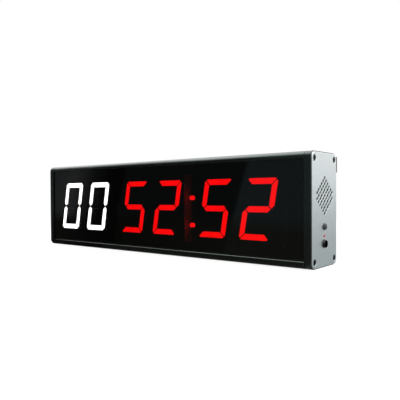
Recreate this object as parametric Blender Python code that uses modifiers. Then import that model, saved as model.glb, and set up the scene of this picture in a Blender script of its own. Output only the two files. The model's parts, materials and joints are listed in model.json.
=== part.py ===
# Gym timer: a long extruded case with a smoked window, six digit modules, and silver end plates.
# Units are metres. In the case's own frame x = 0 is its middle, y = 0 its front edge and z = 0 its base.
# The whole case then hangs on one empty that puts the world origin at the centre of its base outline.

import math

import bmesh
import bpy
from mathutils import Matrix

# Clearances
FIT = 0.0003  # gap between neighbours that touch on the real object
SLIDE = 0.0003  # gap round pieces that move

# Digit modules, which set the length and the height of the case
MODULE_WIDTH = 0.0482
MODULE_HEIGHT = 0.070
MODULE_DEPTH = 0.012
MODULE_SPACE = 0.0004  # between the two modules of a pair
PAIR_SPACE = 0.0148  # between one pair and the next
MODULE_WALL = 0.0012
DIGIT_WIDTH = 0.0328
DIGIT_HEIGHT = 0.0568
SEGMENT_WIDTH = 0.0058
SEGMENT_SPACE = 0.0007  # between neighbouring segments
SEGMENT_SEAT = 0.0001  # play of a segment in its window
CORNER_CUT = 0.0026  # bevelled outer corner of a digit
DIGIT_SLANT = math.radians(10)

# Case
MARGIN_LEFT = 0.0127  # end cap to the first module
MARGIN_RIGHT = 0.0227  # last module to the end cap
BORDER = 0.015  # module to the case's top and base
CASE_DEPTH = 0.0508
CORNER_RADIUS = 0.006
WALL = 0.002
LIP_FLAT = 0.0007  # straight part of the front lip above its rounded corner
LIP_THICKNESS = 0.001
LIP_CHAMFER = 0.0006
PANEL_THICKNESS = 0.002
PANEL_HOLD = 0.002  # how far the lips cover the window's edge
DISPLAY_SPACE = 0.0008  # window to the faces of the modules

# Screws and the ports that they bite in
SCREW_RADIUS = 0.0012
SCREW_PLAY = 0.00015  # screw to the wall of its port
SCREW_HEAD_RADIUS = 0.0027
SCREW_HEAD_HEIGHT = 0.0014
SCREW_SINK = 0.0001
SCREW_BITE = 0.006  # length of screw inside the case
PORT_WALL = 0.0005
PORT_RADIUS = 0.0024
PORT_HEIGHT = 0.0061  # screw axis above the base, or below the top
HEAD_SLOT_LENGTH = 0.003
HEAD_SLOT_WIDTH = 0.0006
HEAD_SLOT_DEPTH = 0.0008

# Rear rail with its T-slot
RAIL_DROP = 0.010  # top of the case to the middle of the rail
RAIL_WALL = 0.0018
SLOT_MOUTH = 0.0062
SLOT_LIP = 0.0015
SLOT_WIDTH = 0.0104
SLOT_DEPTH = 0.003
SLOT_SINK = 0.001  # how far the slot's floor lies inside the rear wall's face
SLOT_PAD = 0.0006  # thickening of the wall behind the slot

# Ends
CAP_THICKNESS = 0.0063
CAP_WEB = 0.0013  # material between a screw hole and the cap's window
CAP_BAR = 0.0105  # height of the cap's top and bottom bars
PLATE_THICKNESS = 0.0017
PLATE_PROUD = 0.001
PLATE_RIM = 0.0005  # the cap's thin rim round the plate
PLATE_PLAY = 0.0002
LUG_HEIGHT = 0.004
LUG_WIDTH = 0.007
LUG_LEFT = 0.002
LUG_RIGHT = 0.0114

# Boards
BOARD_THICKNESS = 0.0016
RIB_THICKNESS = 0.0012
RIB_HEIGHT = 0.0033
SPACER_LENGTH = 0.006
SPACER_RADIUS = 0.003
SPACER_PEG_RADIUS = 0.0014
SPACER_PEG_END = 0.0006
SPACER_INSET = 0.006
CONTROL_BOARD_WIDTH = 0.130
CONTROL_BOARD_HEIGHT = 0.060
CONNECTOR_SIZE = (0.030, 0.005)
CHIP_SIZE = (0.012, 0.0018, 0.012)
CHIP_OFFSET = -0.018
BATTERY_RADIUS = 0.010
BATTERY_THICKNESS = 0.0032
BATTERY_OFFSET = 0.030
HOLDER_WALL = 0.0015
HOLDER_FLOOR = 0.001

# Colon, receiver
COLON_RADIUS = 0.0025
COLON_LENGTH = 0.0109
COLON_UPPER_RISE = 0.0102  # above the middle of the case
COLON_LOWER_DROP = 0.0174
LED_FLANGE = 0.0004
LED_FLANGE_LENGTH = 0.001
RECEIVER_SIZE = (0.006, 0.005, 0.007)
RECEIVER_LENS_RADIUS = 0.0022
RECEIVER_TO_MODULE = 0.0035
RECEIVER_DROP = 0.026
RECEIVER_FACE_SPACE = 0.0014
PIN_WIDTH = 0.0005
PIN_PITCH = 0.00254

# Right end, from the base up
JACK_HEIGHT = 0.0204
JACK_TO_LAMP = 0.0066
LAMP_TO_BUTTON = 0.0082
BUTTON_TO_SPEAKER = 0.0268
CONTROL_SHIFT = 0.001  # socket, lamp and button in front of the plate's middle line
SIDE_BOARD_DEPTH = 0.010  # board face to the plate's inner face
SIDE_BOARD_WIDTH = 0.028
SIDE_BOARD_MARGIN = 0.0075
JACK_PROUD = 0.0018
JACK_RADIUS = 0.0034
JACK_BORE_RADIUS = 0.003
JACK_BORE_DEPTH = 0.009
JACK_BODY_WIDTH = 0.009
JACK_BODY_SPACE = 0.0019  # square body to the plate's inner face
JACK_THREAD_PITCH = 0.00075
JACK_THREAD_DEPTH = 0.0002
JACK_PIN_RADIUS = 0.001
JACK_PIN_TIP_RADIUS = 0.0007
JACK_PIN_RECESS = 0.0025
LAMP_RADIUS = 0.0013
LAMP_LENGTH = 0.0053
LAMP_PROUD = 0.0003
LAMP_PIN_PITCH = 0.0017
BUTTON_RADIUS = 0.003
BUTTON_PROUD = 0.0018
BUTTON_DOME = 0.0003
BUTTON_FACE_RADIUS = 0.0018  # nearly flat middle of its face
BUTTON_EDGE_RADIUS = 0.0027  # where its rounded edge begins
BUTTON_FLANGE = 0.0009
BUTTON_FLANGE_THICKNESS = 0.0012
BUTTON_BOSS_RADIUS = 0.0022
BUTTON_TRAVEL = 0.0005
SWITCH_SIZE = 0.006
SWITCH_HEIGHT = 0.0038
STEM_RADIUS = 0.0017
STEM_PROUD = 0.0013

# Loudspeaker and grille
SPEAKER_PLAY = 0.0007  # basket to the cap's window
GASKET_THICKNESS = 0.001
GASKET_WIDTH = 0.002
BASKET_RIM = 0.001
BASKET_DEPTH = 0.006
BASKET_WALL = 0.0008
BASKET_BACK_RADIUS = 0.0085
CONE_THICKNESS = 0.0005
CONE_DEPTH = 0.0035
CONE_CENTRE_RADIUS = 0.004
MAGNET_RADIUS = 0.0085
MAGNET_THICKNESS = 0.004
GRILLE_ROWS = (1, 2, 3, 4, 5, 6, 5, 6, 5, 4, 3, 2, 1)
GRILLE_ROW_PITCH = 0.00254
GRILLE_PITCH = 0.006
GRILLE_HOLE_RADIUS = 0.00155

# Leads
LEAD_RADIUS = 0.0012
LEAD_BOW = 0.008
LEAD_STRAIGHT = 0.0025
LEAD_TURN = 0.020  # from its start to where a lead has turned to the rear
LEAD_RUN_IN = 0.010  # from there it bends down to the control board
LEAD_SLACK = 0.002
LEAD_BOARD_INSET = 0.018
LEAD_SIDE_SHIFT = 0.008
LEAD_RISE = 0.015  # each lead's end from the middle height

# Wall hangers
HANGER_REST = 0.110  # middle of a hanger from the middle of the case
HANGER_WIDTH = 0.024
HANGER_THICKNESS = 0.002
HANGER_TOP = 0.0065  # above the clamp screw
HANGER_BOTTOM = 0.0095  # below the keyhole's centre
HANGER_CORNER = 0.003
KEYHOLE_DROP = 0.027  # clamp screw to the keyhole's centre
KEYHOLE_RADIUS = 0.00475
KEYHOLE_NECK_RADIUS = 0.0026
KEYHOLE_LENGTH = 0.009
CLAMP_RADIUS = 0.0019
CLAMP_PLAY = 0.0003
CLAMP_HEAD_RADIUS = 0.0035
CLAMP_HEAD_HEIGHT = 0.0013
CLAMP_SOCKET_RADIUS = 0.0013
CLAMP_SOCKET_DEPTH = 0.0007
NUT_LENGTH = 0.012
NUT_THICKNESS = 0.0024

# Fineness of round shapes
ROUND_STEPS = 24
HOLE_STEPS = 12
CORNER_STEPS = 7

# Worked out from the sizes above
DISPLAY_LENGTH = 6 * MODULE_WIDTH + 3 * MODULE_SPACE + 2 * PAIR_SPACE
INNER_LENGTH = MARGIN_LEFT + DISPLAY_LENGTH + MARGIN_RIGHT
CASE_HALF = INNER_LENGTH / 2  # inner faces of the caps
CAP_HALF = CASE_HALF + CAP_THICKNESS
END_HALF = CAP_HALF + PLATE_PROUD
PLATE_BACK = END_HALF - PLATE_THICKNESS
CASE_HEIGHT = MODULE_HEIGHT + 2 * BORDER
MID_HEIGHT = CASE_HEIGHT / 2
LIP_HEIGHT = CORNER_RADIUS + LIP_FLAT
PANEL_FRONT = LIP_THICKNESS + FIT
GROOVE_BACK = PANEL_FRONT + PANEL_THICKNESS + FIT
GROOVE_FLOOR = LIP_HEIGHT - PANEL_HOLD - FIT
PORT_BORE = SCREW_RADIUS + SCREW_PLAY
PORT_INSET = GROOVE_BACK + PORT_WALL + PORT_BORE  # screw axis behind the case's front edge
MODULE_FRONT = PANEL_FRONT + PANEL_THICKNESS + DISPLAY_SPACE
BOARD_FRONT = MODULE_FRONT + MODULE_DEPTH + FIT
BOARD_BACK = BOARD_FRONT + BOARD_THICKNESS
CONTROL_FRONT = BOARD_BACK + SPACER_LENGTH
CONTROL_BACK = CONTROL_FRONT + BOARD_THICKNESS
RAIL_HEIGHT = CASE_HEIGHT - RAIL_DROP
RAIL_PROUD = SLOT_LIP + SLOT_DEPTH - SLOT_SINK
RAIL_HALF = SLOT_WIDTH / 2 + RAIL_WALL
RAIL_FACE = CASE_DEPTH + RAIL_PROUD
HANGER_FRONT = RAIL_FACE + SLIDE
HANGER_BACK = HANGER_FRONT + HANGER_THICKNESS
SCREW_LENGTH = END_HALF - SCREW_SINK - CASE_HALF + SCREW_BITE
PLATE_INSET = PLATE_RIM + PLATE_PLAY
CAP_SIDE = PORT_INSET + SCREW_RADIUS + 2 * FIT + CAP_WEB
LAMP_HEIGHT = JACK_HEIGHT + JACK_TO_LAMP
BUTTON_HEIGHT = LAMP_HEIGHT + LAMP_TO_BUTTON
SPEAKER_HEIGHT = BUTTON_HEIGHT + BUTTON_TO_SPEAKER
SPEAKER_RADIUS = CASE_DEPTH / 2 - CAP_SIDE - SPEAKER_PLAY
MID_DEPTH = CASE_DEPTH / 2
CONTROL_DEPTH = MID_DEPTH - CONTROL_SHIFT
SIDE_BOARD_FACE = PLATE_BACK - SIDE_BOARD_DEPTH
BOARD_LEFT = -CASE_HALF + LUG_LEFT + FIT
BOARD_RIGHT = CASE_HALF - LUG_RIGHT - FIT
REACH_RIGHT = END_HALF + max(JACK_PROUD, BUTTON_PROUD, LAMP_PROUD)

MATERIALS = {
    "black_anodised": ((0.012, 0.013, 0.014), 0.6, 0.38),
    "smoked_acrylic": ((0.010, 0.010, 0.011), 0.0, 0.06),
    "black_abs": ((0.014, 0.015, 0.016), 0.0, 0.42),
    "blasted_aluminium": ((0.66, 0.69, 0.69), 0.85, 0.42),
    "black_screw": ((0.015, 0.015, 0.016), 0.7, 0.35),
    "module_face": ((0.020, 0.020, 0.022), 0.0, 0.55),
    "white_segment": ((0.90, 0.92, 0.95), 0.0, 0.40),
    "red_segment": ((0.80, 0.010, 0.012), 0.0, 0.40),
    "circuit_board": ((0.010, 0.085, 0.045), 0.0, 0.35),
    "chip_epoxy": ((0.020, 0.020, 0.020), 0.0, 0.50),
    "nylon": ((0.80, 0.79, 0.74), 0.0, 0.45),
    "cell_steel": ((0.62, 0.63, 0.64), 1.0, 0.28),
    "zinc_steel": ((0.60, 0.61, 0.62), 1.0, 0.35),
    "speaker_paper": ((0.030, 0.030, 0.030), 0.0, 0.80),
    "foam": ((0.025, 0.025, 0.027), 0.0, 0.95),
    "ferrite": ((0.060, 0.060, 0.065), 0.1, 0.60),
    "brass_nickel": ((0.66, 0.62, 0.55), 1.0, 0.25),
    "lead_pvc": ((0.030, 0.030, 0.032), 0.0, 0.45),
    "button_plastic": ((0.045, 0.047, 0.050), 0.0, 0.30),
}


def clear_scene():
    for old in list(bpy.data.objects):
        bpy.data.objects.remove(old, do_unlink=True)


def new_collection(name, helper=False):
    made = bpy.data.collections.new(name)
    made.hide_render = helper
    bpy.context.scene.collection.children.link(made)
    return made


def material(name):
    """The named Principled BSDF material, made on first use."""
    if name in bpy.data.materials:
        return bpy.data.materials[name]
    color, metallic, roughness = MATERIALS[name]
    made = bpy.data.materials.new(name)
    made.use_nodes = True
    shader = made.node_tree.nodes["Principled BSDF"]
    shader.inputs["Base Color"].default_value = (*color, 1)
    shader.inputs["Metallic"].default_value = metallic
    shader.inputs["Roughness"].default_value = roughness
    made.diffuse_color = (*color, 1)
    return made


# Outlines are lists of (u, v) points. Solids drawn from them lie along one world axis.

ALONG_X = Matrix(((0, 0, 1), (1, 0, 0), (0, 1, 0)))  # u is y, v is z, thickness runs to +x
ALONG_Y = Matrix(((1, 0, 0), (0, 0, -1), (0, 1, 0)))  # u is x, v is z, thickness runs to -y


def arc(u, v, radius, start, end, steps=CORNER_STEPS):
    """Points on a circle about (u, v), from one angle to another in degrees."""
    angles = [math.radians(start + (end - start) * i / steps) for i in range(steps + 1)]
    return [(u + radius * math.cos(a), v + radius * math.sin(a)) for a in angles]


def rounded_box(low_u, low_v, high_u, high_v, radius, steps=CORNER_STEPS):
    return (
        arc(low_u + radius, low_v + radius, radius, 180, 270, steps)
        + arc(high_u - radius, low_v + radius, radius, 270, 360, steps)
        + arc(high_u - radius, high_v - radius, radius, 0, 90, steps)
        + arc(low_u + radius, high_v - radius, radius, 90, 180, steps)
    )


def closed_mesh(source, name):
    """The object's evaluated shape as a mesh with its caps welded and its faces pointing out."""
    bpy.context.view_layer.update()
    graph = bpy.context.evaluated_depsgraph_get()
    mesh = bpy.data.meshes.new_from_object(source.evaluated_get(graph))
    mesh.name = name
    shape = bmesh.new()
    shape.from_mesh(mesh)
    bmesh.ops.remove_doubles(shape, verts=shape.verts, dist=1e-6)
    bmesh.ops.dissolve_degenerate(shape, edges=shape.edges, dist=1e-6)
    bmesh.ops.recalc_face_normals(shape, faces=shape.faces)
    shape.to_mesh(mesh)
    shape.free()
    return mesh


def finish(obj, look, parent=None, smooth=35):
    """Gives a finished piece its material, its parent and smooth shading on its round faces."""
    obj.data.materials.clear()
    obj.data.materials.append(material(look))
    obj.data.shade_smooth()
    obj.data.set_sharp_from_angle(angle=math.radians(smooth))
    obj.parent = parent or case_frame
    return obj


def slab(name, loops, start, thickness, axis, into=None):
    """A solid drawn by closed outlines; inner outlines are holes. It runs from start along its axis."""
    drawing = bpy.data.curves.new(name, "CURVE")
    drawing.dimensions = "2D"
    drawing.fill_mode = "BOTH"
    drawing.extrude = thickness / 2
    for loop in loops:
        spline = drawing.splines.new("POLY")
        spline.points.add(len(loop) - 1)
        for point, (u, v) in zip(spline.points, loop):
            point.co = (u, v, 0, 1)
        spline.use_cyclic_u = True
    drawn = bpy.data.objects.new(name + "_outline", drawing)
    cutters.objects.link(drawn)
    mesh = closed_mesh(drawn, name)
    bpy.data.objects.remove(drawn)
    bpy.data.curves.remove(drawing)
    obj = bpy.data.objects.new(name, mesh)
    obj.rotation_euler = axis.to_euler()
    middle = start + thickness / 2
    obj.location = (middle, 0, 0) if axis is ALONG_X else (0, middle, 0)
    (into or parts).objects.link(obj)
    return obj


def block(name, low, high, into=None):
    """A box between two corners, with its origin at its centre."""
    shape = bmesh.new()
    bmesh.ops.create_cube(shape, size=1)
    size = [b - a for a, b in zip(low, high)]
    bmesh.ops.scale(shape, vec=size, verts=shape.verts)
    mesh = bpy.data.meshes.new(name)
    shape.to_mesh(mesh)
    shape.free()
    obj = bpy.data.objects.new(name, mesh)
    obj.location = [(a + b) / 2 for a, b in zip(low, high)]
    (into or parts).objects.link(obj)
    return obj


def turned(name, profile, place, rotation, steps=ROUND_STEPS, into=None):
    """A solid turned round its own Z axis. The profile's (radius, height) points run from top to bottom."""
    mesh = bpy.data.meshes.new(name)
    closed = profile[0][0] > 0
    edges = [(i, i + 1) for i in range(len(profile) - 1)]
    if closed:
        edges.append((len(profile) - 1, 0))
    mesh.from_pydata([(radius, 0, height) for radius, height in profile], edges, [])
    obj = bpy.data.objects.new(name, mesh)
    screw = obj.modifiers.new("turn", "SCREW")
    screw.steps = steps
    screw.render_steps = steps
    screw.use_merge_vertices = True
    screw.merge_threshold = 0.000001
    obj.rotation_euler = rotation
    obj.location = place
    (into or parts).objects.link(obj)
    return obj


def drill(obj, holes, start, depth, axis):
    """Cuts round holes along one axis. Each hole is its centre (u, v), its radius and its steps."""
    shape = bmesh.new()
    for u, v, radius, steps in holes:
        bmesh.ops.create_cone(
            shape,
            cap_ends=True,
            segments=steps,
            radius1=radius,
            radius2=radius,
            depth=depth,
            matrix=Matrix.Translation((u, v, 0)),
        )
    mesh = bpy.data.meshes.new(obj.name + "_drills")
    shape.to_mesh(mesh)
    shape.free()
    drills = bpy.data.objects.new(obj.name + "_drills", mesh)
    drills.rotation_euler = axis.to_euler()
    middle = start + depth / 2
    drills.location = (middle, 0, 0) if axis is ALONG_X else (0, middle, 0)
    cutters.objects.link(drills)
    cut(obj, drills)


TO_RIGHT = (0, math.radians(90), 0)  # local Z to +x
TO_LEFT = (0, math.radians(-90), 0)  # local Z to -x
TO_FRONT = (math.radians(90), 0, 0)  # local Z to -y
TO_BACK = (math.radians(-90), 0, 0)  # local Z to +y


def combine(obj, other, operation):
    """Cuts or joins another solid, which then counts as a helper and is not drawn."""
    boolean = obj.modifiers.new(operation.lower(), "BOOLEAN")
    boolean.operation = operation
    boolean.object = other
    other.hide_render = True
    other.display_type = "WIRE"
    if other.parent is None:
        other.parent = case_frame


def cut(obj, other):
    combine(obj, other, "DIFFERENCE")


def join(obj, other):
    combine(obj, other, "UNION")


def mirrored(points):
    """The same outline at the top of the case, in the order that keeps it going round."""
    return [(u, CASE_HEIGHT - v) for u, v in reversed(points)]


def port_places():
    """The four screw axes, as (y, z)."""
    depths = (PORT_INSET, CASE_DEPTH - PORT_INSET)
    heights = (PORT_HEIGHT, CASE_HEIGHT - PORT_HEIGHT)
    return [(y, z) for z in heights for y in depths]


def screw_holes():
    return [(y, z, SCREW_RADIUS + FIT, HOLE_STEPS) for y, z in port_places()]


def outside_outline(slotted):
    """The case's outside, from its lower front edge round the base, the rail and the top."""
    radius = CORNER_RADIUS
    rear = CASE_DEPTH - radius
    base = arc(radius, radius, radius, 180, 270) + arc(rear, radius, radius, 270, 360)
    # The rail's top runs forward until it meets the rounded upper corner.
    over = RAIL_HEIGHT + RAIL_HALF - (CASE_HEIGHT - radius)
    meeting = math.degrees(math.asin(max(over, 0) / radius))
    crown = arc(rear, CASE_HEIGHT - radius, radius, meeting, 90)
    crown += arc(radius, CASE_HEIGHT - radius, radius, 90, 180)
    return base + rail_outline(slotted) + crown


def rail_outline(slotted):
    """The rail's outside on the rear wall, from below to above, with its T-slot if it has one."""
    low, high = RAIL_HEIGHT - RAIL_HALF, RAIL_HEIGHT + RAIL_HALF
    if not slotted:
        return [(CASE_DEPTH, low), (RAIL_FACE, low), (RAIL_FACE, high)]
    mouth, width = SLOT_MOUTH / 2, SLOT_WIDTH / 2
    lip = RAIL_FACE - SLOT_LIP
    floor = lip - SLOT_DEPTH
    lower = [
        (RAIL_FACE, low),
        (RAIL_FACE, RAIL_HEIGHT - mouth),
        (lip, RAIL_HEIGHT - mouth),
        (lip, RAIL_HEIGHT - width),
        (floor, RAIL_HEIGHT - width),
    ]
    return [(CASE_DEPTH, low)] + lower + [(y, 2 * RAIL_HEIGHT - z) for y, z in reversed(lower)]


def inside_outline():
    """The lower inside of the case, from the lip's edge back to the rear wall."""
    rib_top = WALL + RIB_HEIGHT
    port_top = PORT_HEIGHT + PORT_RADIUS
    front_port = PORT_INSET + PORT_RADIUS
    rear_port = CASE_DEPTH - PORT_INSET - PORT_RADIUS
    slot_front, slot_back = BOARD_FRONT - FIT, BOARD_BACK + FIT
    return [
        (0, LIP_HEIGHT - LIP_CHAMFER),
        (LIP_CHAMFER, LIP_HEIGHT),
        (LIP_THICKNESS, LIP_HEIGHT),
        (LIP_THICKNESS, GROOVE_FLOOR),
        (GROOVE_BACK, GROOVE_FLOOR),
        (GROOVE_BACK, port_top),
        (front_port, port_top),
        (front_port, WALL),
        (slot_front - RIB_THICKNESS, WALL),
        (slot_front - RIB_THICKNESS, rib_top),
        (slot_front, rib_top),
        (slot_front, WALL),
        (slot_back, WALL),
        (slot_back, rib_top),
        (slot_back + RIB_THICKNESS, rib_top),
        (slot_back + RIB_THICKNESS, WALL),
        (rear_port, WALL),
        (rear_port, port_top),
        (CASE_DEPTH - WALL, port_top),
    ]


def make_case():
    inside = inside_outline()
    pad_front = CASE_DEPTH - WALL - SLOT_PAD
    pad_low = RAIL_HEIGHT - RAIL_HALF - SLOT_PAD
    upper = mirrored(inside)
    upper[0] = (pad_front, upper[0][1])  # the pad behind the slot meets the upper rear port
    pad = [(CASE_DEPTH - WALL, pad_low), (pad_front, pad_low)]
    outline = outside_outline(True) + (inside + pad + upper)[::-1]
    half = CASE_HALF - FIT
    case = slab("case_extrusion", [outline], -half, 2 * half, ALONG_X)
    bores = [(y, z, PORT_BORE, HOLE_STEPS) for y, z in port_places()]
    drill(case, bores, -half - FIT, 2 * CASE_HALF, ALONG_X)
    finish(case, "black_anodised")


def make_panel():
    low = LIP_HEIGHT - PANEL_HOLD
    half = CASE_HALF - FIT
    outline = [(-half, low), (half, low), (half, CASE_HEIGHT - low), (-half, CASE_HEIGHT - low)]
    finish(slab("front_panel", [outline], PANEL_FRONT, PANEL_THICKNESS, ALONG_Y), "smoked_acrylic")


def make_cap(side, name):
    """One end frame: side is -1 at the left and 1 at the right."""
    window = rounded_box(CAP_SIDE, CAP_BAR, CASE_DEPTH - CAP_SIDE, CASE_HEIGHT - CAP_BAR, CAP_WEB, 3)
    start = CASE_HALF if side > 0 else -CAP_HALF
    cap = slab(name, [outside_outline(False), window], start, CAP_THICKNESS, ALONG_X)
    drill(cap, screw_holes(), start - FIT, CAP_THICKNESS + 2 * FIT, ALONG_X)

    seat = PLATE_RIM
    recess = rounded_box(
        seat, seat, CASE_DEPTH - seat, CASE_HEIGHT - seat, CORNER_RADIUS - seat, CORNER_STEPS
    )
    deep = PLATE_BACK - FIT
    recess_start = deep if side > 0 else -CAP_HALF - FIT
    cut(cap, slab(name + "_recess", [recess], recess_start, CAP_HALF + FIT - deep, ALONG_X, cutters))

    reach = LUG_RIGHT if side > 0 else LUG_LEFT
    overlap = CAP_THICKNESS / 2
    ends = sorted((side * (CASE_HALF - reach), side * (CASE_HALF + overlap)))
    middle = (BOARD_FRONT + BOARD_BACK) / 2
    low = WALL + RIB_HEIGHT + FIT
    for number, bottom in enumerate((low, CASE_HEIGHT - low - LUG_HEIGHT)):
        lug = block(
            f"{name}_lug_{number}",
            (ends[0], middle - LUG_WIDTH / 2, bottom),
            (ends[1], middle + LUG_WIDTH / 2, bottom + LUG_HEIGHT),
            cutters,
        )
        join(cap, lug)
    finish(cap, "black_abs")


def grille_holes():
    """Centres of the diamond of round holes in front of the loudspeaker."""
    places = []
    middle = (len(GRILLE_ROWS) - 1) / 2
    for row, count in enumerate(GRILLE_ROWS):
        z = SPEAKER_HEIGHT + (middle - row) * GRILLE_ROW_PITCH
        places += [(MID_DEPTH + (i - (count - 1) / 2) * GRILLE_PITCH, z) for i in range(count)]
    return places


def make_plate(side, name, openings):
    inset = PLATE_INSET
    outline = rounded_box(
        inset, inset, CASE_DEPTH - inset, CASE_HEIGHT - inset, CORNER_RADIUS - inset, CORNER_STEPS
    )
    start = PLATE_BACK if side > 0 else -END_HALF
    plate = slab(name, [outline], start, PLATE_THICKNESS, ALONG_X)
    drill(plate, openings + screw_holes(), start - FIT, PLATE_THICKNESS + 2 * FIT, ALONG_X)
    for number, (y, z) in enumerate(port_places(), 1):
        slope = (SCREW_HEAD_RADIUS - SCREW_RADIUS) / SCREW_HEAD_HEIGHT
        deep = SCREW_HEAD_HEIGHT + SCREW_SINK
        profile = [
            (0, FIT),
            (SCREW_HEAD_RADIUS + FIT + slope * FIT, FIT),
            (SCREW_HEAD_RADIUS + FIT - slope * deep, -deep),
            (0, -deep),
        ]
        sink = turned(
            f"{name}_sink_{number}",
            profile,
            (side * END_HALF, y, z),
            TO_RIGHT if side > 0 else TO_LEFT,
            HOLE_STEPS,
            cutters,
        )
        cut(plate, sink)
    finish(plate, "blasted_aluminium")


def make_end_screws(side, word):
    outward = TO_RIGHT if side > 0 else TO_LEFT
    profile = [
        (0, 0),
        (SCREW_HEAD_RADIUS, 0),
        (SCREW_RADIUS, -SCREW_HEAD_HEIGHT),
        (SCREW_RADIUS, -SCREW_LENGTH),
        (0, -SCREW_LENGTH),
    ]
    for number, (y, z) in enumerate(port_places(), 1):
        name = f"end_screw_{word}_{number}"
        face = side * (END_HALF - SCREW_SINK)
        screw = turned(name, profile, (face, y, z), outward, HOLE_STEPS)
        for turn, (wide, tall) in enumerate(
            ((HEAD_SLOT_LENGTH, HEAD_SLOT_WIDTH), (HEAD_SLOT_WIDTH, HEAD_SLOT_LENGTH))
        ):
            ends = sorted((face - side * HEAD_SLOT_DEPTH, face + side * FIT))
            slot = block(
                f"{name}_slot_{turn}",
                (ends[0], y - wide / 2, z - tall / 2),
                (ends[1], y + wide / 2, z + tall / 2),
                cutters,
            )
            cut(screw, slot)
        finish(screw, "black_screw")


def digit_places():
    """The middle of each module along the case, from left to right."""
    places = []
    left = -CASE_HALF + MARGIN_LEFT
    for pair in range(3):
        for _ in range(2):
            places.append(left + MODULE_WIDTH / 2)
            left += MODULE_WIDTH + MODULE_SPACE
        left += PAIR_SPACE - MODULE_SPACE
    return places


def segment_outlines(grow):
    """The seven bars of one digit about its own centre, each widened by grow all round and slanted."""
    half = DIGIT_HEIGHT / 2 + grow
    right = DIGIT_WIDTH / 2 + grow
    thick = SEGMENT_WIDTH + 2 * grow
    miter = SEGMENT_SPACE / math.sqrt(2) - grow * math.sqrt(2)
    corner = CORNER_CUT + grow * (2 - math.sqrt(2))
    near, far = (corner - miter) / 2, (corner + miter) / 2
    top = [
        (-right + far, half - near),
        (-right + corner, half),
        (right - corner, half),
        (right - far, half - near),
        (right - thick - miter, half - thick),
        (-right + thick + miter, half - thick),
    ]
    upper_left = [
        (-right + near, half - far),
        (-right + thick, half - thick - miter),
        (-right + thick, thick / 2 + miter),
        (-right + thick / 2, miter),
        (-right, thick / 2 + miter),
        (-right, half - corner),
    ]
    middle = [
        (-right + thick / 2 + miter, 0),
        (-right + thick + miter, thick / 2),
        (right - thick - miter, thick / 2),
        (right - thick / 2 - miter, 0),
        (right - thick - miter, -thick / 2),
        (-right + thick + miter, -thick / 2),
    ]

    def turned_about(points, u, v):
        return [(u * x, v * z) for x, z in points]

    bars = [
        top,
        turned_about(upper_left, -1, 1),
        turned_about(upper_left, -1, -1),
        turned_about(top, 1, -1),
        turned_about(upper_left, 1, -1),
        upper_left,
        middle,
    ]
    lean = math.tan(DIGIT_SLANT)
    return [[(x + z * lean, z) for x, z in bar] for bar in bars]


def make_digits():
    back = MODULE_FRONT + MODULE_DEPTH
    half_width, half_height = MODULE_WIDTH / 2, MODULE_HEIGHT / 2
    for number, x in enumerate(digit_places(), 1):
        name = f"digit_{number}"

        def placed(points):
            return [(x + u, MID_HEIGHT + v) for u, v in points]

        housing = block(
            name + "_housing",
            (x - half_width, MODULE_FRONT, MID_HEIGHT - half_height),
            (x + half_width, back, MID_HEIGHT + half_height),
        )
        wall = MODULE_WALL
        hollow = block(
            name + "_hollow",
            (x - half_width + wall, MODULE_FRONT + wall, MID_HEIGHT - half_height + wall),
            (x + half_width - wall, back + FIT, MID_HEIGHT + half_height - wall),
            cutters,
        )
        cut(housing, hollow)
        windows = [placed(bar) for bar in segment_outlines(SEGMENT_SEAT)]
        cut(housing, slab(name + "_windows", windows, MODULE_FRONT - FIT, 2 * MODULE_WALL, ALONG_Y, cutters))
        finish(housing, "module_face")

        inset = MODULE_WALL + FIT
        filling = block(
            name + "_segments",
            (x - half_width + inset, back - 2 * MODULE_WALL, MID_HEIGHT - half_height + inset),
            (x + half_width - inset, back - MODULE_WALL / 2, MID_HEIGHT + half_height - inset),
        )
        bars = [placed(bar) for bar in segment_outlines(0)]
        length = MODULE_DEPTH - 1.5 * MODULE_WALL
        join(filling, slab(name + "_bars", bars, MODULE_FRONT, length, ALONG_Y, cutters))
        finish(filling, "white_segment" if number <= 2 else "red_segment")


def lamp_profile(radius, length):
    """A round LED, domed at the top, with its flange at the bottom, standing on height 0."""
    dome = [(p, length - radius + q) for q, p in arc(0, 0, radius, 0, 90, 4)]
    return dome + [
        (radius, LED_FLANGE_LENGTH),
        (radius + LED_FLANGE, LED_FLANGE_LENGTH),
        (radius + LED_FLANGE, 0),
        (0, 0),
    ]


def make_colon():
    x = (digit_places()[3] + digit_places()[4]) / 2
    heights = {"upper": MID_HEIGHT + COLON_UPPER_RISE, "lower": MID_HEIGHT - COLON_LOWER_DROP}
    profile = lamp_profile(COLON_RADIUS, COLON_LENGTH)
    for word, z in heights.items():
        place = (x, BOARD_FRONT - FIT, z)
        finish(turned(f"colon_led_{word}", profile, place, TO_FRONT, 16), "red_segment")


def make_receiver():
    width, depth, height = RECEIVER_SIZE
    x = digit_places()[-1] + MODULE_WIDTH / 2 + RECEIVER_TO_MODULE + width / 2
    z = MID_HEIGHT - RECEIVER_DROP
    front = MODULE_FRONT + RECEIVER_LENS_RADIUS + RECEIVER_FACE_SPACE
    body = block(
        "ir_receiver",
        (x - width / 2, front, z - height / 2),
        (x + width / 2, front + depth, z + height / 2),
    )
    radius = RECEIVER_LENS_RADIUS
    dome = [(p, q) for q, p in arc(0, 0, radius, 0, 90, 4)] + [(radius, -depth / 4), (0, -depth / 4)]
    join(body, turned("ir_receiver_lens", dome, (x, front, z), TO_FRONT, 16, cutters))
    for number in (-1, 0, 1):
        pin_x = x + number * PIN_PITCH / 2
        pin = block(
            f"ir_receiver_pin_{number + 1}",
            (pin_x - PIN_WIDTH / 2, front + depth / 2, z - PIN_WIDTH / 2),
            (pin_x + PIN_WIDTH / 2, BOARD_FRONT - FIT, z + PIN_WIDTH / 2),
            cutters,
        )
        join(body, pin)
    finish(body, "chip_epoxy")


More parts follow.
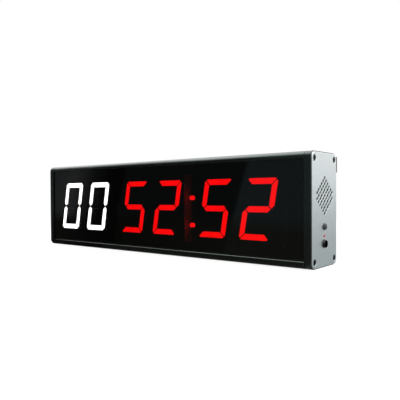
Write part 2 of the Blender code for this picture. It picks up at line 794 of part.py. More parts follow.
def spacer_places():
    half_width = CONTROL_BOARD_WIDTH / 2 - SPACER_INSET
    half_height = CONTROL_BOARD_HEIGHT / 2 - SPACER_INSET
    return [(u * half_width, MID_HEIGHT + v * half_height) for v in (-1, 1) for u in (-1, 1)]


def make_boards():
    peg_holes = [(x, z, SPACER_PEG_RADIUS + FIT, HOLE_STEPS) for x, z in spacer_places()]
    depth = BOARD_THICKNESS + 2 * FIT
    low, high = WALL + FIT, CASE_HEIGHT - WALL - FIT
    outline = [(BOARD_LEFT, low), (BOARD_RIGHT, low), (BOARD_RIGHT, high), (BOARD_LEFT, high)]
    board = slab("display_board", [outline], BOARD_FRONT, BOARD_THICKNESS, ALONG_Y)
    drill(board, peg_holes, BOARD_FRONT - FIT, depth, ALONG_Y)
    finish(board, "circuit_board")

    half_width, half_height = CONTROL_BOARD_WIDTH / 2, CONTROL_BOARD_HEIGHT / 2
    outline = rounded_box(
        -half_width, MID_HEIGHT - half_height, half_width, MID_HEIGHT + half_height, SPACER_RADIUS, 3
    )
    board = slab("control_board", [outline], CONTROL_FRONT, BOARD_THICKNESS, ALONG_Y)
    drill(board, peg_holes, CONTROL_FRONT - FIT, depth, ALONG_Y)
    finish(board, "circuit_board")

    shoulder = SPACER_LENGTH / 2 - FIT
    peg = SPACER_LENGTH / 2 + BOARD_THICKNESS + SPACER_PEG_END
    profile = [
        (0, peg),
        (SPACER_PEG_RADIUS, peg),
        (SPACER_PEG_RADIUS, shoulder),
        (SPACER_RADIUS, shoulder),
        (SPACER_RADIUS, -shoulder),
        (SPACER_PEG_RADIUS, -shoulder),
        (SPACER_PEG_RADIUS, -SPACER_LENGTH / 2 - BOARD_THICKNESS),
        (0, -SPACER_LENGTH / 2 - BOARD_THICKNESS),
    ]
    middle = (BOARD_BACK + CONTROL_FRONT) / 2
    for number, (x, z) in enumerate(spacer_places(), 1):
        spacer = turned(f"board_spacer_{number}", profile, (x, middle, z), TO_BACK, HOLE_STEPS)
        finish(spacer, "nylon")

    width, height = CONNECTOR_SIZE
    connector = block(
        "board_connector",
        (-width / 2, BOARD_BACK + FIT, MID_HEIGHT - height / 2),
        (width / 2, CONTROL_FRONT - FIT, MID_HEIGHT + height / 2),
    )
    finish(connector, "chip_epoxy")


def make_control_parts():
    width, depth, height = CHIP_SIZE
    face = CONTROL_BACK + FIT
    chip = block(
        "control_chip",
        (CHIP_OFFSET - width / 2, face, MID_HEIGHT - height / 2),
        (CHIP_OFFSET + width / 2, face + depth, MID_HEIGHT + height / 2),
    )
    finish(chip, "chip_epoxy")

    inner = BATTERY_RADIUS + FIT
    outer = inner + HOLDER_WALL
    rim = HOLDER_FLOOR + BATTERY_THICKNESS
    profile = [(0, HOLDER_FLOOR), (inner, HOLDER_FLOOR), (inner, rim), (outer, rim), (outer, 0), (0, 0)]
    place = (BATTERY_OFFSET, face, MID_HEIGHT)
    finish(turned("battery_holder", profile, place, TO_BACK), "chip_epoxy")
    top = BATTERY_THICKNESS
    profile = [(0, top), (BATTERY_RADIUS, top), (BATTERY_RADIUS, 0), (0, 0)]
    place = (BATTERY_OFFSET, face + HOLDER_FLOOR + FIT, MID_HEIGHT)
    finish(turned("clock_battery", profile, place, TO_BACK), "cell_steel")


def make_side_board():
    low = JACK_HEIGHT - SIDE_BOARD_MARGIN
    high = BUTTON_HEIGHT + SIDE_BOARD_MARGIN - FIT
    board = block(
        "side_board",
        (SIDE_BOARD_FACE - BOARD_THICKNESS, MID_DEPTH - SIDE_BOARD_WIDTH / 2, low),
        (SIDE_BOARD_FACE, MID_DEPTH + SIDE_BOARD_WIDTH / 2, high),
    )
    finish(board, "circuit_board")


def make_jack():
    """The socket: a square body on the side board and a threaded barrel through the plate."""
    mouth = END_HALF + JACK_PROUD
    foot = SIDE_BOARD_FACE + FIT
    shoulder = PLATE_BACK - JACK_BODY_SPACE
    half = JACK_BODY_WIDTH / 2
    body = block(
        "dc_jack",
        (foot, CONTROL_DEPTH - half, JACK_HEIGHT - half),
        (shoulder, CONTROL_DEPTH + half, JACK_HEIGHT + half),
    )
    length = mouth - foot
    threads = int((mouth - shoulder) / JACK_THREAD_PITCH)
    profile = [(0, length), (JACK_RADIUS - JACK_THREAD_DEPTH, length)]
    for turn in range(threads):
        crest = length - (turn + 0.5) * JACK_THREAD_PITCH
        valley = length - (turn + 1) * JACK_THREAD_PITCH
        profile += [(JACK_RADIUS, crest), (JACK_RADIUS - JACK_THREAD_DEPTH, valley)]
    root = (shoulder - foot) / 2  # the barrel starts inside the square body
    profile += [(JACK_RADIUS - JACK_THREAD_DEPTH, root), (0, root)]
    join(body, turned("dc_jack_barrel", profile, (foot, CONTROL_DEPTH, JACK_HEIGHT), TO_RIGHT, 20, cutters))
    bore = [
        (0, FIT),
        (JACK_BORE_RADIUS, FIT),
        (JACK_BORE_RADIUS, -JACK_BORE_DEPTH),
        (0, -JACK_BORE_DEPTH),
    ]
    cut(body, turned("dc_jack_bore", bore, (mouth, CONTROL_DEPTH, JACK_HEIGHT), TO_RIGHT, 20, cutters))
    finish(body, "black_abs")
    top, bottom = -JACK_PIN_RECESS, -JACK_BORE_DEPTH + FIT
    pin = [
        (0, top),
        (JACK_PIN_TIP_RADIUS, top),
        (JACK_PIN_RADIUS, top - JACK_PIN_RADIUS / 2),
        (JACK_PIN_RADIUS, bottom),
        (0, bottom),
    ]
    finish(turned("dc_jack_pin", pin, (mouth, CONTROL_DEPTH, JACK_HEIGHT), TO_RIGHT, 12), "brass_nickel")


def make_status_lamp():
    tip = END_HALF + LAMP_PROUD
    foot = tip - LAMP_LENGTH
    place = (foot, CONTROL_DEPTH, LAMP_HEIGHT)
    lamp = turned("status_led", lamp_profile(LAMP_RADIUS, LAMP_LENGTH), place, TO_RIGHT, 16)
    half = PIN_WIDTH / 2
    for number, shift in enumerate((-LAMP_PIN_PITCH / 2, LAMP_PIN_PITCH / 2)):
        depth = CONTROL_DEPTH + shift
        pin = block(
            f"status_led_pin_{number}",
            (SIDE_BOARD_FACE + FIT, depth - half, LAMP_HEIGHT - half),
            (foot + LED_FLANGE_LENGTH / 2, depth + half, LAMP_HEIGHT + half),
            cutters,
        )
        join(lamp, pin)
    finish(lamp, "red_segment")


def make_button():
    """The button cap with its flange behind the plate, and the small switch that it presses."""
    slide = bpy.data.objects.new("power_button_slide", None)
    slide.location = (PLATE_BACK, CONTROL_DEPTH, BUTTON_HEIGHT)
    slide.parent = case_frame
    parts.objects.link(slide)

    body_top = SIDE_BOARD_FACE + FIT + SWITCH_HEIGHT
    stem_tip = body_top + STEM_PROUD
    face = END_HALF + BUTTON_PROUD - PLATE_BACK
    rim = face - BUTTON_DOME
    flange_top = -SLIDE
    flange_bottom = flange_top - BUTTON_FLANGE_THICKNESS
    boss_end = stem_tip + FIT - PLATE_BACK
    profile = [
        (0, face),
        (BUTTON_FACE_RADIUS, face - BUTTON_DOME / 4),
        (BUTTON_EDGE_RADIUS, rim),
        (BUTTON_RADIUS, rim - BUTTON_DOME / 2),
        (BUTTON_RADIUS, flange_top),
        (BUTTON_RADIUS + BUTTON_FLANGE, flange_top),
        (BUTTON_RADIUS + BUTTON_FLANGE, flange_bottom),
        (BUTTON_BOSS_RADIUS, flange_bottom),
        (BUTTON_BOSS_RADIUS, boss_end),
        (0, boss_end),
    ]
    button = turned("power_button", profile, (0, 0, 0), TO_RIGHT, 24)
    finish(button, "button_plastic", slide)

    half = SWITCH_SIZE / 2
    body = block(
        "power_switch_body",
        (SIDE_BOARD_FACE + FIT, CONTROL_DEPTH - half, BUTTON_HEIGHT - half),
        (body_top, CONTROL_DEPTH + half, BUTTON_HEIGHT + half),
    )
    deep = STEM_PROUD + BUTTON_TRAVEL + 2 * SLIDE
    well = [(0, FIT), (STEM_RADIUS + SLIDE, FIT), (STEM_RADIUS + SLIDE, -deep), (0, -deep)]
    place = (body_top, CONTROL_DEPTH, BUTTON_HEIGHT)
    cut(body, turned("power_switch_well", well, place, TO_RIGHT, 16, cutters))
    finish(body, "chip_epoxy")

    tip = stem_tip - PLATE_BACK
    foot = tip - 2 * STEM_PROUD
    stem = [(0, tip), (STEM_RADIUS, tip), (STEM_RADIUS, foot), (0, foot)]
    finish(turned("power_switch_stem", stem, (0, 0, 0), TO_RIGHT, 16), "nylon", slide)


def make_speaker():
    """Ring gasket, basket, cone and magnet, stacked inwards from the back of the plate."""
    place = (PLATE_BACK - FIT, MID_DEPTH, SPEAKER_HEIGHT)
    outer = SPEAKER_RADIUS
    inner = outer - GASKET_WIDTH
    ring = [(outer, 0), (outer, -GASKET_THICKNESS), (inner, -GASKET_THICKNESS), (inner, 0)]
    finish(turned("speaker_gasket", ring, place, TO_RIGHT), "foam")

    front = -GASKET_THICKNESS - FIT
    rim = front - BASKET_RIM
    back = front - BASKET_DEPTH
    back_radius = BASKET_BACK_RADIUS
    basket = [
        (0, back + BASKET_WALL),
        (back_radius - BASKET_WALL, back + BASKET_WALL),
        (inner - BASKET_WALL, rim + BASKET_WALL / 2),
        (inner - BASKET_WALL, front),
        (outer, front),
        (outer, rim),
        (inner, rim),
        (back_radius, back),
        (0, back),
    ]
    finish(turned("speaker_basket", basket, place, TO_RIGHT), "zinc_steel")

    edge = inner - BASKET_WALL - FIT
    top = front - FIT
    cone = [
        (0, top - CONE_DEPTH + CONE_CENTRE_RADIUS / 4),
        (CONE_CENTRE_RADIUS, top - CONE_DEPTH),
        (edge - CONE_THICKNESS, top),
        (edge, top),
        (edge, top - CONE_THICKNESS),
        (CONE_CENTRE_RADIUS, top - CONE_DEPTH - CONE_THICKNESS),
        (0, top - CONE_DEPTH - CONE_THICKNESS),
    ]
    finish(turned("speaker_cone", cone, place, TO_RIGHT), "speaker_paper")

    start = back - FIT
    end = start - MAGNET_THICKNESS
    magnet = [(0, start), (MAGNET_RADIUS, start), (MAGNET_RADIUS, end), (0, end)]
    finish(turned("speaker_magnet", magnet, place, TO_RIGHT), "ferrite")


def smooth_path(points, steps):
    """A smooth route through the points, as a Catmull-Rom curve."""
    padded = [points[0]] + points + [points[-1]]
    path = []
    for i in range(1, len(padded) - 2):
        near = padded[i - 1 : i + 3]
        for step in range(steps):
            t = step / steps
            place = []
            for a, b, c, d in zip(*near):
                curve = (2 * a - 5 * b + 4 * c - d) * t**2 + (3 * b - a - 3 * c + d) * t**3
                place.append((2 * b + (c - a) * t + curve) / 2)
            path.append(place)
    path.append(list(points[-1]))
    return path


def lead(name, points):
    path = smooth_path(points, 4)
    drawing = bpy.data.curves.new(name, "CURVE")
    drawing.dimensions = "3D"
    drawing.bevel_depth = LEAD_RADIUS
    drawing.bevel_resolution = 1
    drawing.use_fill_caps = True
    spline = drawing.splines.new("POLY")
    spline.points.add(len(path) - 1)
    for point, place in zip(spline.points, path):
        point.co = (*place, 1)
    drawn = bpy.data.objects.new(name + "_route", drawing)
    cutters.objects.link(drawn)
    mesh = closed_mesh(drawn, name)
    bpy.data.objects.remove(drawn)
    bpy.data.curves.remove(drawing)
    obj = bpy.data.objects.new(name, mesh)
    parts.objects.link(obj)
    finish(obj, "lead_pvc")


def lead_route(start, end_height):
    """From a side part, straight in, then behind the modules and square on to the control board."""
    x, y, z = start
    bow = CONTROL_BACK + LEAD_BOW
    end_x = CONTROL_BOARD_WIDTH / 2 - LEAD_BOARD_INSET
    return [
        start,
        (x - LEAD_STRAIGHT, y, z),
        (x - 2 * LEAD_STRAIGHT, y, z),
        (x - LEAD_TURN, bow, z + LEAD_SLACK),
        ((x + end_x) / 2, bow + LEAD_SLACK, (z + end_height) / 2),
        (end_x + LEAD_RUN_IN, bow, end_height),
        (end_x, CONTROL_BACK + 2 * LEAD_STRAIGHT, end_height),
        (end_x, CONTROL_BACK + LEAD_STRAIGHT, end_height),
        (end_x, CONTROL_BACK + FIT, end_height),
    ]


def make_leads():
    """Both inner leads run from the right end to the back of the control board."""
    board_x = SIDE_BOARD_FACE - BOARD_THICKNESS - FIT
    start = (board_x, MID_DEPTH + LEAD_SIDE_SHIFT, JACK_HEIGHT)
    lead("power_lead", lead_route(start, MID_HEIGHT - LEAD_RISE))
    magnet_x = PLATE_BACK - 3 * FIT - GASKET_THICKNESS - BASKET_DEPTH - MAGNET_THICKNESS - FIT
    start = (magnet_x, MID_DEPTH + LEAD_SIDE_SHIFT / 2, SPEAKER_HEIGHT)
    lead("speaker_lead", lead_route(start, MID_HEIGHT + LEAD_RISE))


def keyhole(z):
    """A round hole with a narrow neck above it, drawn about x = 0."""
    side = math.degrees(math.asin(KEYHOLE_NECK_RADIUS / KEYHOLE_RADIUS))
    body = arc(0, z, KEYHOLE_RADIUS, 90 + side, 450 - side, 16)
    neck = arc(0, z + KEYHOLE_LENGTH, KEYHOLE_NECK_RADIUS, 0, 180, 8)
    return body + neck


def make_hanger(side, word):
    """One wall hanger with its clamp screw and its nut in the T-slot; it slides along the rail."""
    slide = bpy.data.objects.new(f"hanger_{word}_slide", None)
    slide.location = (side * HANGER_REST, RAIL_FACE, RAIL_HEIGHT)
    slide.parent = case_frame
    parts.objects.link(slide)

    half = HANGER_WIDTH / 2
    bottom = -KEYHOLE_DROP - HANGER_BOTTOM
    outline = rounded_box(-half, bottom, half, HANGER_TOP, HANGER_CORNER, 4)
    hole = arc(0, 0, CLAMP_RADIUS + CLAMP_PLAY, 0, 360, 16)[:-1]
    plate = slab(
        f"hanger_{word}", [outline, keyhole(-KEYHOLE_DROP), hole], SLIDE, HANGER_THICKNESS, ALONG_Y
    )
    back = SLIDE + HANGER_THICKNESS
    slope = (CLAMP_HEAD_RADIUS - CLAMP_RADIUS) / CLAMP_HEAD_HEIGHT
    rim = CLAMP_HEAD_RADIUS + CLAMP_PLAY
    sink = [(0, FIT), (rim + slope * FIT, FIT), (rim - slope * CLAMP_HEAD_HEIGHT, -CLAMP_HEAD_HEIGHT)]
    sink.append((0, -CLAMP_HEAD_HEIGHT))
    sink = turned(f"hanger_{word}_sink", sink, (0, back, 0), TO_BACK, 16, cutters)
    sink.parent = slide
    cut(plate, sink)
    finish(plate, "zinc_steel", slide)

    nut_back = -SLOT_LIP - SLIDE
    nut_half = SLOT_WIDTH / 2 - SLIDE
    nut = block(
        f"hanger_nut_{word}",
        (-NUT_LENGTH / 2, nut_back - NUT_THICKNESS, -nut_half),
        (NUT_LENGTH / 2, nut_back, nut_half),
    )
    bore = CLAMP_RADIUS + CLAMP_PLAY
    through = [(0, FIT), (bore, FIT), (bore, -NUT_THICKNESS - FIT), (0, -NUT_THICKNESS - FIT)]
    drill = turned(f"hanger_nut_{word}_drill", through, (0, nut_back, 0), TO_BACK, 16, cutters)
    drill.parent = slide
    cut(nut, drill)
    finish(nut, "zinc_steel", slide)

    length = back - nut_back + NUT_THICKNESS
    profile = [
        (0, 0),
        (CLAMP_HEAD_RADIUS, 0),
        (CLAMP_RADIUS, -CLAMP_HEAD_HEIGHT),
        (CLAMP_RADIUS, -length),
        (0, -length),
    ]
    screw = turned(f"hanger_screw_{word}", profile, (0, back, 0), TO_BACK, 16)
    radius, deep = CLAMP_SOCKET_RADIUS, CLAMP_SOCKET_DEPTH
    socket = [(0, FIT), (radius, FIT), (radius, -deep), (0, -deep)]
    hex_cut = turned(f"hanger_screw_{word}_socket", socket, (0, back, 0), TO_BACK, 6, cutters)
    hex_cut.parent = slide
    cut(screw, hex_cut)
    finish(screw, "zinc_steel", slide)


clear_scene()
parts = new_collection("gym_timer")
cutters = new_collection("cutters", helper=True)
case_frame = bpy.data.objects.new("case_frame", None)
case_frame.location = (-(REACH_RIGHT - END_HALF) / 2, -HANGER_BACK / 2, 0)
parts.objects.link(case_frame)

make_case()
make_panel()
make_cap(-1, "end_cap_left")
make_cap(1, "end_cap_right")
end_openings = [(CONTROL_DEPTH, JACK_HEIGHT, JACK_RADIUS + FIT, 20)]
end_openings.append((CONTROL_DEPTH, LAMP_HEIGHT, LAMP_RADIUS + FIT, HOLE_STEPS))
end_openings.append((CONTROL_DEPTH, BUTTON_HEIGHT, BUTTON_RADIUS + SLIDE, 24))
end_openings += [(y, z, GRILLE_HOLE_RADIUS, 8) for y, z in grille_holes()]
make_plate(-1, "end_plate_left", [])
make_plate(1, "end_plate_right", end_openings)
make_end_screws(-1, "left")
make_end_screws(1, "right")
make_digits()
make_colon()
make_receiver()
make_boards()
make_control_parts()
make_side_board()
make_jack()
make_status_lamp()
make_button()
make_speaker()
make_leads()
make_hanger(-1, "left")
make_hanger(1, "right")
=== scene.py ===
# Finishes, lamps and camera for a gym timer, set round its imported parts
import json
import math

import bmesh
import bpy
from mathutils import Matrix, Vector


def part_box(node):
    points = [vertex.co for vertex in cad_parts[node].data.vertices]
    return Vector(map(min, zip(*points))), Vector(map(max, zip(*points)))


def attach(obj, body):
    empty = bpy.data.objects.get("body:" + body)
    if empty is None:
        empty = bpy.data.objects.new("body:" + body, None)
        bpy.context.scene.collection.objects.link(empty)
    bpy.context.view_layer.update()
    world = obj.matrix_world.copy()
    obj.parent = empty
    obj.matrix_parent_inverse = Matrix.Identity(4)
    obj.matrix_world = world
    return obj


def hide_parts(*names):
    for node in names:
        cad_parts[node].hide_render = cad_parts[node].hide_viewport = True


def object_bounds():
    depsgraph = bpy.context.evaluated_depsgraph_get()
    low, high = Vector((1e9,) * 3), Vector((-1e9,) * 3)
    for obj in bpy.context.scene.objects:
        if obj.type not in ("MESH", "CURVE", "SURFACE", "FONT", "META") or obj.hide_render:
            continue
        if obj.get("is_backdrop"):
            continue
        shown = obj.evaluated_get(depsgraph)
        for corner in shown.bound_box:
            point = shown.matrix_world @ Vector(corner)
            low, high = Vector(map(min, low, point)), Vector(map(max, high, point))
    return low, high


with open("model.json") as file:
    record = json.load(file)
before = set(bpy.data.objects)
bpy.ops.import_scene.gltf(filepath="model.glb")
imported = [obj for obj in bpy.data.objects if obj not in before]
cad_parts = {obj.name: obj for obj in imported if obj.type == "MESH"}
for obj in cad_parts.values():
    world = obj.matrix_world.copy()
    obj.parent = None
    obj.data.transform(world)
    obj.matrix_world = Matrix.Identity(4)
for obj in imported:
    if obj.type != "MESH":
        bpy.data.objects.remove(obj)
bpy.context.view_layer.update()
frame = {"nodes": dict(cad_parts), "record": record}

scene = bpy.context.scene
nodes = frame["nodes"]

# Pieces are drawn in millimetres: x from the middle of the case, y from its front and z from its base
shellLow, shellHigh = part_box("case_extrusion")
caseToWorld = Matrix.Translation(((shellLow.x + shellHigh.x) / 2, shellLow.y, 0)) @ Matrix.Scale(0.001, 4)
worldToCase = caseToWorld.inverted()


def boxOf(node):
    low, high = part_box(node)
    return worldToCase @ low, worldToCase @ high


def middleOf(node):
    low, high = boxOf(node)
    return (low + high) / 2


# Camera, at the right front and a little above the middle of the case
cameraSetup = {
    "lens": 42.978,  # mm
    "sensor": 36,
    "clipFrom": 0.01,  # m
    "place": (359.52, -365.07, 64.57),  # mm
    "yaw": 38.734,  # degrees to the left of straight on
    "pitch": -0.781,
    "roll": -0.337,
}

cameraData = bpy.data.cameras.new("camera")
cameraData.lens = cameraSetup["lens"]
cameraData.sensor_width = cameraSetup["sensor"]
cameraData.clip_start = cameraSetup["clipFrom"]
camera = bpy.data.objects.new("camera", cameraData)
turn = Matrix.Rotation(math.radians(cameraSetup["yaw"]), 4, "Z")
turn @= Matrix.Rotation(math.radians(90 + cameraSetup["pitch"]), 4, "X")
turn @= Matrix.Rotation(math.radians(cameraSetup["roll"]), 4, "Z")
camera.matrix_world = Matrix.Translation(caseToWorld @ Vector(cameraSetup["place"])) @ turn
scene.collection.objects.link(camera)
scene.camera = camera
print("camera set")


# Finishes


def addNode(tree, kind, settings=None, links=None):
    # settings holds node options or socket values. links holds what feeds its sockets: an output, or a node
    # for that node's first output
    node = tree.nodes.new(kind)
    for key, value in (settings or {}).items():
        if isinstance(key, str) and hasattr(node, key):
            setattr(node, key, value)
        else:
            node.inputs[key].default_value = value
    for key, source in (links or {}).items():
        tree.links.new(source.outputs[0] if hasattr(source, "outputs") else source, node.inputs[key])
    return node


def hexColour(code):
    # The light of a screen colour, by the sRGB curve
    values = [int(code[i : i + 2], 16) / 255 for i in (1, 3, 5)]
    return [v / 12.92 if v <= 0.04045 else ((v + 0.055) / 1.055) ** 2.4 for v in values] + [1]


def perMetre(size):
    return 1000 / size  # pattern scale for features of a size in millimetres


grainDetail = 3  # finer layers in every grain


def spread(low, high):
    # Most values of a noise lie between 0.3 and 0.7, and are spread from low to high
    return {"From Min": 0.3, "From Max": 0.7, "To Min": low, "To Max": high}


def makeFinish(name, recipe):
    # Two tints drift over a coarse cloud, and a finer grain gives roughness and relief. Sizes are in mm
    made = bpy.data.materials.new(name)
    made.use_nodes = True
    tree = made.node_tree
    shader = tree.nodes["Principled BSDF"]
    for key, value in recipe["shader"].items():
        shader.inputs[key].default_value = value
    place = addNode(tree, "ShaderNodeTexCoord", {"name": "place"}).outputs["Object"]
    size = {"name": "cloud", "Scale": perMetre(recipe["cloud"])}
    cloud = addNode(tree, "ShaderNodeTexNoise", size, {"Vector": place})
    stretch = {"Scale": recipe.get("stretch", (1, 1, 1))}
    laid = addNode(tree, "ShaderNodeMapping", stretch, {"Vector": place})
    pattern = recipe.get("pattern", "ShaderNodeTexNoise")
    fine = {"Scale": perMetre(recipe["grain"]), "Detail": grainDetail}
    grain = addNode(tree, pattern, fine, {"Vector": laid})
    first, second = recipe["tints"]
    colours = {"name": "tint", "data_type": "RGBA", 6: hexColour(first), 7: hexColour(second)}
    tint = addNode(tree, "ShaderNodeMix", colours, {0: cloud})
    gloss = addNode(tree, "ShaderNodeMapRange", spread(*recipe["roughness"]), {"Value": grain})
    relief = addNode(tree, "ShaderNodeBump", {"Distance": recipe["relief"] / 1000}, {"Height": grain})
    tree.links.new(tint.outputs[2], shader.inputs["Base Color"])
    tree.links.new(gloss.outputs["Result"], shader.inputs["Roughness"])
    tree.links.new(relief.outputs["Normal"], shader.inputs["Normal"])
    return made


# Extruded aluminium, etched, anodised and dyed: a satin black with faint die lines along its length
blackAnodised = {
    "shader": {"IOR": 1.6, "Specular Tint": (0.82, 1.0, 0.93, 1)},
    "tints": ("#060707", "#0b0c0c"),
    "cloud": 18,
    "grain": 0.35,
    "stretch": (0.012, 1, 1),
    "roughness": (0.2, 0.3),
    "relief": 0.005,
}

# The same extrusion where the saw went through after dyeing: bare, with the blade's arcs across it
sawnAluminium = {
    "shader": {"Metallic": 1.0},
    "tints": ("#c6c9ca", "#dcdedf"),
    "cloud": 3,
    "grain": 0.25,
    "stretch": (1, 1, 0.08),
    "roughness": (0.32, 0.48),
    "relief": 0.006,
}

# Injection-moulded ABS with a spark-eroded skin: a softer and slightly greyer black
blackMoulding = {
    "shader": {"IOR": 1.54, "Specular Tint": (0.84, 1.0, 0.94, 1)},
    "tints": ("#0c0d0e", "#121415"),
    "cloud": 9,
    "grain": 0.25,
    "roughness": (0.2, 0.3),
    "relief": 0.008,
}

# Aluminium sheet, bead blasted and clear anodised: pale and even. The real pits are about 0.05 mm wide and
# are drawn coarser, so that their sparkle shows
blastedAluminium = {
    "shader": {"Metallic": 1.0},
    "tints": ("#e2e9ea", "#f0f5f5"),
    "cloud": 5,
    "grain": 0.3,
    "roughness": (0.32, 0.44),
    "relief": 0.012,
}

# Cold-headed steel screws, zinc plated and blackened: dark, with a brown-grey shine where the plating thins
blackScrew = {
    "shader": {"Metallic": 1.0},
    "tints": ("#09090a", "#161515"),
    "cloud": 0.8,
    "grain": 0.4,
    "roughness": (0.28, 0.44),
    "relief": 0.004,
}

# Filled epoxy under a grey film: a lamp bar that is off looks almost as dark as the face round it
darkBar = {
    "shader": {"IOR": 1.5},
    "tints": ("#141516", "#1b1c1d"),
    "cloud": 2,
    "grain": 0.4,
    "roughness": (0.4, 0.5),
    "relief": 0.004,
}

# Transfer-moulded epoxy: flat black with a fine sandy grain
chipEpoxy = {
    "shader": {"IOR": 1.55},
    "tints": ("#1b1b1d", "#262628"),
    "cloud": 3,
    "grain": 0.12,
    "roughness": (0.5, 0.7),
    "relief": 0.01,
}

# Moulded nylon, uncoloured: waxy ivory that lets a little light in
naturalNylon = {
    "shader": {"IOR": 1.53, "Subsurface Weight": 0.15, "Subsurface Scale": 0.001},
    "tints": ("#d9d5c8", "#e9e6dc"),
    "cloud": 3,
    "grain": 1.5,
    "stretch": (1, 0.3, 1),
    "roughness": (0.38, 0.5),
    "relief": 0.01,
}

# Drawn steel can, nickel plated: a bright warm grey with fine drawing lines
nickelSteel = {
    "shader": {"Metallic": 1.0},
    "tints": ("#b9babb", "#cfd0d0"),
    "cloud": 5,
    "grain": 0.2,
    "stretch": (1, 1, 0.05),
    "roughness": (0.2, 0.34),
    "relief": 0.003,
}

# Rolled and stamped steel, bright zinc plated: a cool grey with cloudy patches and rolling lines
zincSteel = {
    "shader": {"Metallic": 1.0},
    "tints": ("#a9adb1", "#c3c7c9"),
    "cloud": 5,
    "grain": 0.3,
    "stretch": (1, 1, 0.05),
    "roughness": (0.3, 0.45),
    "relief": 0.003,
}

# Turned brass pin, nickel plated: a warm bright metal with turning marks
nickelBrass = {
    "shader": {"Metallic": 1.0},
    "tints": ("#c4c0b4", "#d8d4c8"),
    "cloud": 1,
    "grain": 0.1,
    "stretch": (1, 0.1, 0.1),
    "roughness": (0.16, 0.28),
    "relief": 0.002,
}

# Pressed paper pulp: soft black with short fibres
speakerPaper = {
    "shader": {"IOR": 1.45, "Sheen Weight": 0.2},
    "tints": ("#1c1b1b", "#2c2a29"),
    "cloud": 1.5,
    "grain": 0.3,
    "stretch": (1, 0.3, 1),
    "roughness": (0.75, 0.95),
    "relief": 0.05,
}

# Closed-cell foam, die cut: matt black with tiny open cells on its cut faces
closedFoam = {
    "shader": {"IOR": 1.4},
    "tints": ("#131314", "#232326"),
    "cloud": 1,
    "grain": 0.5,
    "pattern": "ShaderNodeTexVoronoi",
    "roughness": (0.85, 1.0),
    "relief": 0.1,
}

# Sintered ferrite, ground flat: a dark grey ceramic with a stony grain
groundFerrite = {
    "shader": {"IOR": 1.8},
    "tints": ("#303033", "#424246"),
    "cloud": 2,
    "grain": 0.4,
    "roughness": (0.5, 0.7),
    "relief": 0.02,
}

# PVC extruded over two cores: limp and satin black
leadJacket = {
    "shader": {"IOR": 1.53},
    "tints": ("#1c1c1e", "#29292b"),
    "cloud": 4,
    "grain": 0.6,
    "roughness": (0.38, 0.5),
    "relief": 0.01,
}

# Turned brass, black-nickel plated: the socket's thread flashes dark and light as its flanks turn
blackNickel = {
    "shader": {"Metallic": 1.0},
    "tints": ("#2e3032", "#3e4042"),
    "cloud": 1,
    "grain": 0.1,
    "stretch": (1, 0.1, 0.1),
    "roughness": (0.14, 0.24),
    "relief": 0.002,
}

# Polished ABS: near-black with a crisp highlight, and faint finger wear
polishedButton = {
    "shader": {"IOR": 1.54},
    "tints": ("#2e3234", "#3a3f42"),
    "cloud": 2,
    "grain": 1.2,
    "roughness": (0.22, 0.32),
    "relief": 0.002,
}

# Cast acrylic, smoke tinted and polished: a near-black mirror that only lit bars show through
smokedAcrylic = {
    "shader": {"Transmission Weight": 1.0, "IOR": 1.49},
    "tints": ("#69696c", "#6e6e72"),
    "cloud": 120,
    "grain": 40,
    "roughness": (0.0, 0.012),
    "relief": 0.0,
}

# Solder mask screened over glass epoxy: glossy green, with copper tracks standing under it
solderMask = {
    "shader": {"IOR": 1.52},
    "tints": ("#0c4a2e", "#12583a"),
    "cloud": 12,
    "grain": 1.0,
    "roughness": (0.24, 0.34),
    "relief": 0.004,
    "track": "#1d6b45",
    "trackPitch": 9,
    "trackWidth": 0.03,  # of the pitch
    "trackRise": 0.035,
    "laid": {"offset": 0.37, "squash": 0.6},  # how the rows of tracks are staggered
}


def makeBoardFinish(name, recipe):
    made = makeFinish(name, recipe)
    tree = made.node_tree
    shader = tree.nodes["Principled BSDF"]
    place = tree.nodes["place"].outputs["Object"]
    rows = {"Scale": perMetre(recipe["trackPitch"]), "Mortar Size": recipe["trackWidth"], **recipe["laid"]}
    tracks = addNode(tree, "ShaderNodeTexBrick", rows, {"Vector": place}).outputs["Fac"]
    copper = {"data_type": "RGBA", 7: hexColour(recipe["track"])}
    coppered = addNode(tree, "ShaderNodeMix", copper, {0: tracks, 6: tree.nodes["tint"].outputs[2]})
    height = {"Distance": recipe["trackRise"] / 1000}
    rise = addNode(tree, "ShaderNodeBump", height, {"Height": tracks})
    tree.links.new(coppered.outputs[2], shader.inputs["Base Color"])
    tree.links.new(rise.outputs["Normal"], shader.inputs["Normal"])
    return made


# Grey ABS reflector housing, printed black on its front and a little way round: leaked light shows on its
# sides
digitHousing = {
    "shader": {"IOR": 1.5},
    "tints": ("#aaa8a4", "#b6b4b0"),
    "cloud": 12,
    "grain": 0.3,
    "roughness": (0.5, 0.62),
    "relief": 0.006,
    "ink": "#0b0c0c",
    "inkDepth": 0.4,
}


def makeHousingFinish(name, recipe):
    made = makeFinish(name, recipe)
    tree = made.node_tree
    axes = addNode(tree, "ShaderNodeSeparateXYZ", links={0: tree.nodes["place"].outputs["Object"]})
    limit = {"operation": "GREATER_THAN", 1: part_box("digit_1_housing")[0].y + recipe["inkDepth"] / 1000}
    behind = addNode(tree, "ShaderNodeMath", limit, {0: axes.outputs["Y"]})
    ink = {"data_type": "RGBA", 6: hexColour(recipe["ink"])}
    printed = addNode(tree, "ShaderNodeMix", ink, {0: behind, 7: tree.nodes["tint"].outputs[2]})
    tree.links.new(printed.outputs[2], tree.nodes["Principled BSDF"].inputs["Base Color"])
    return made


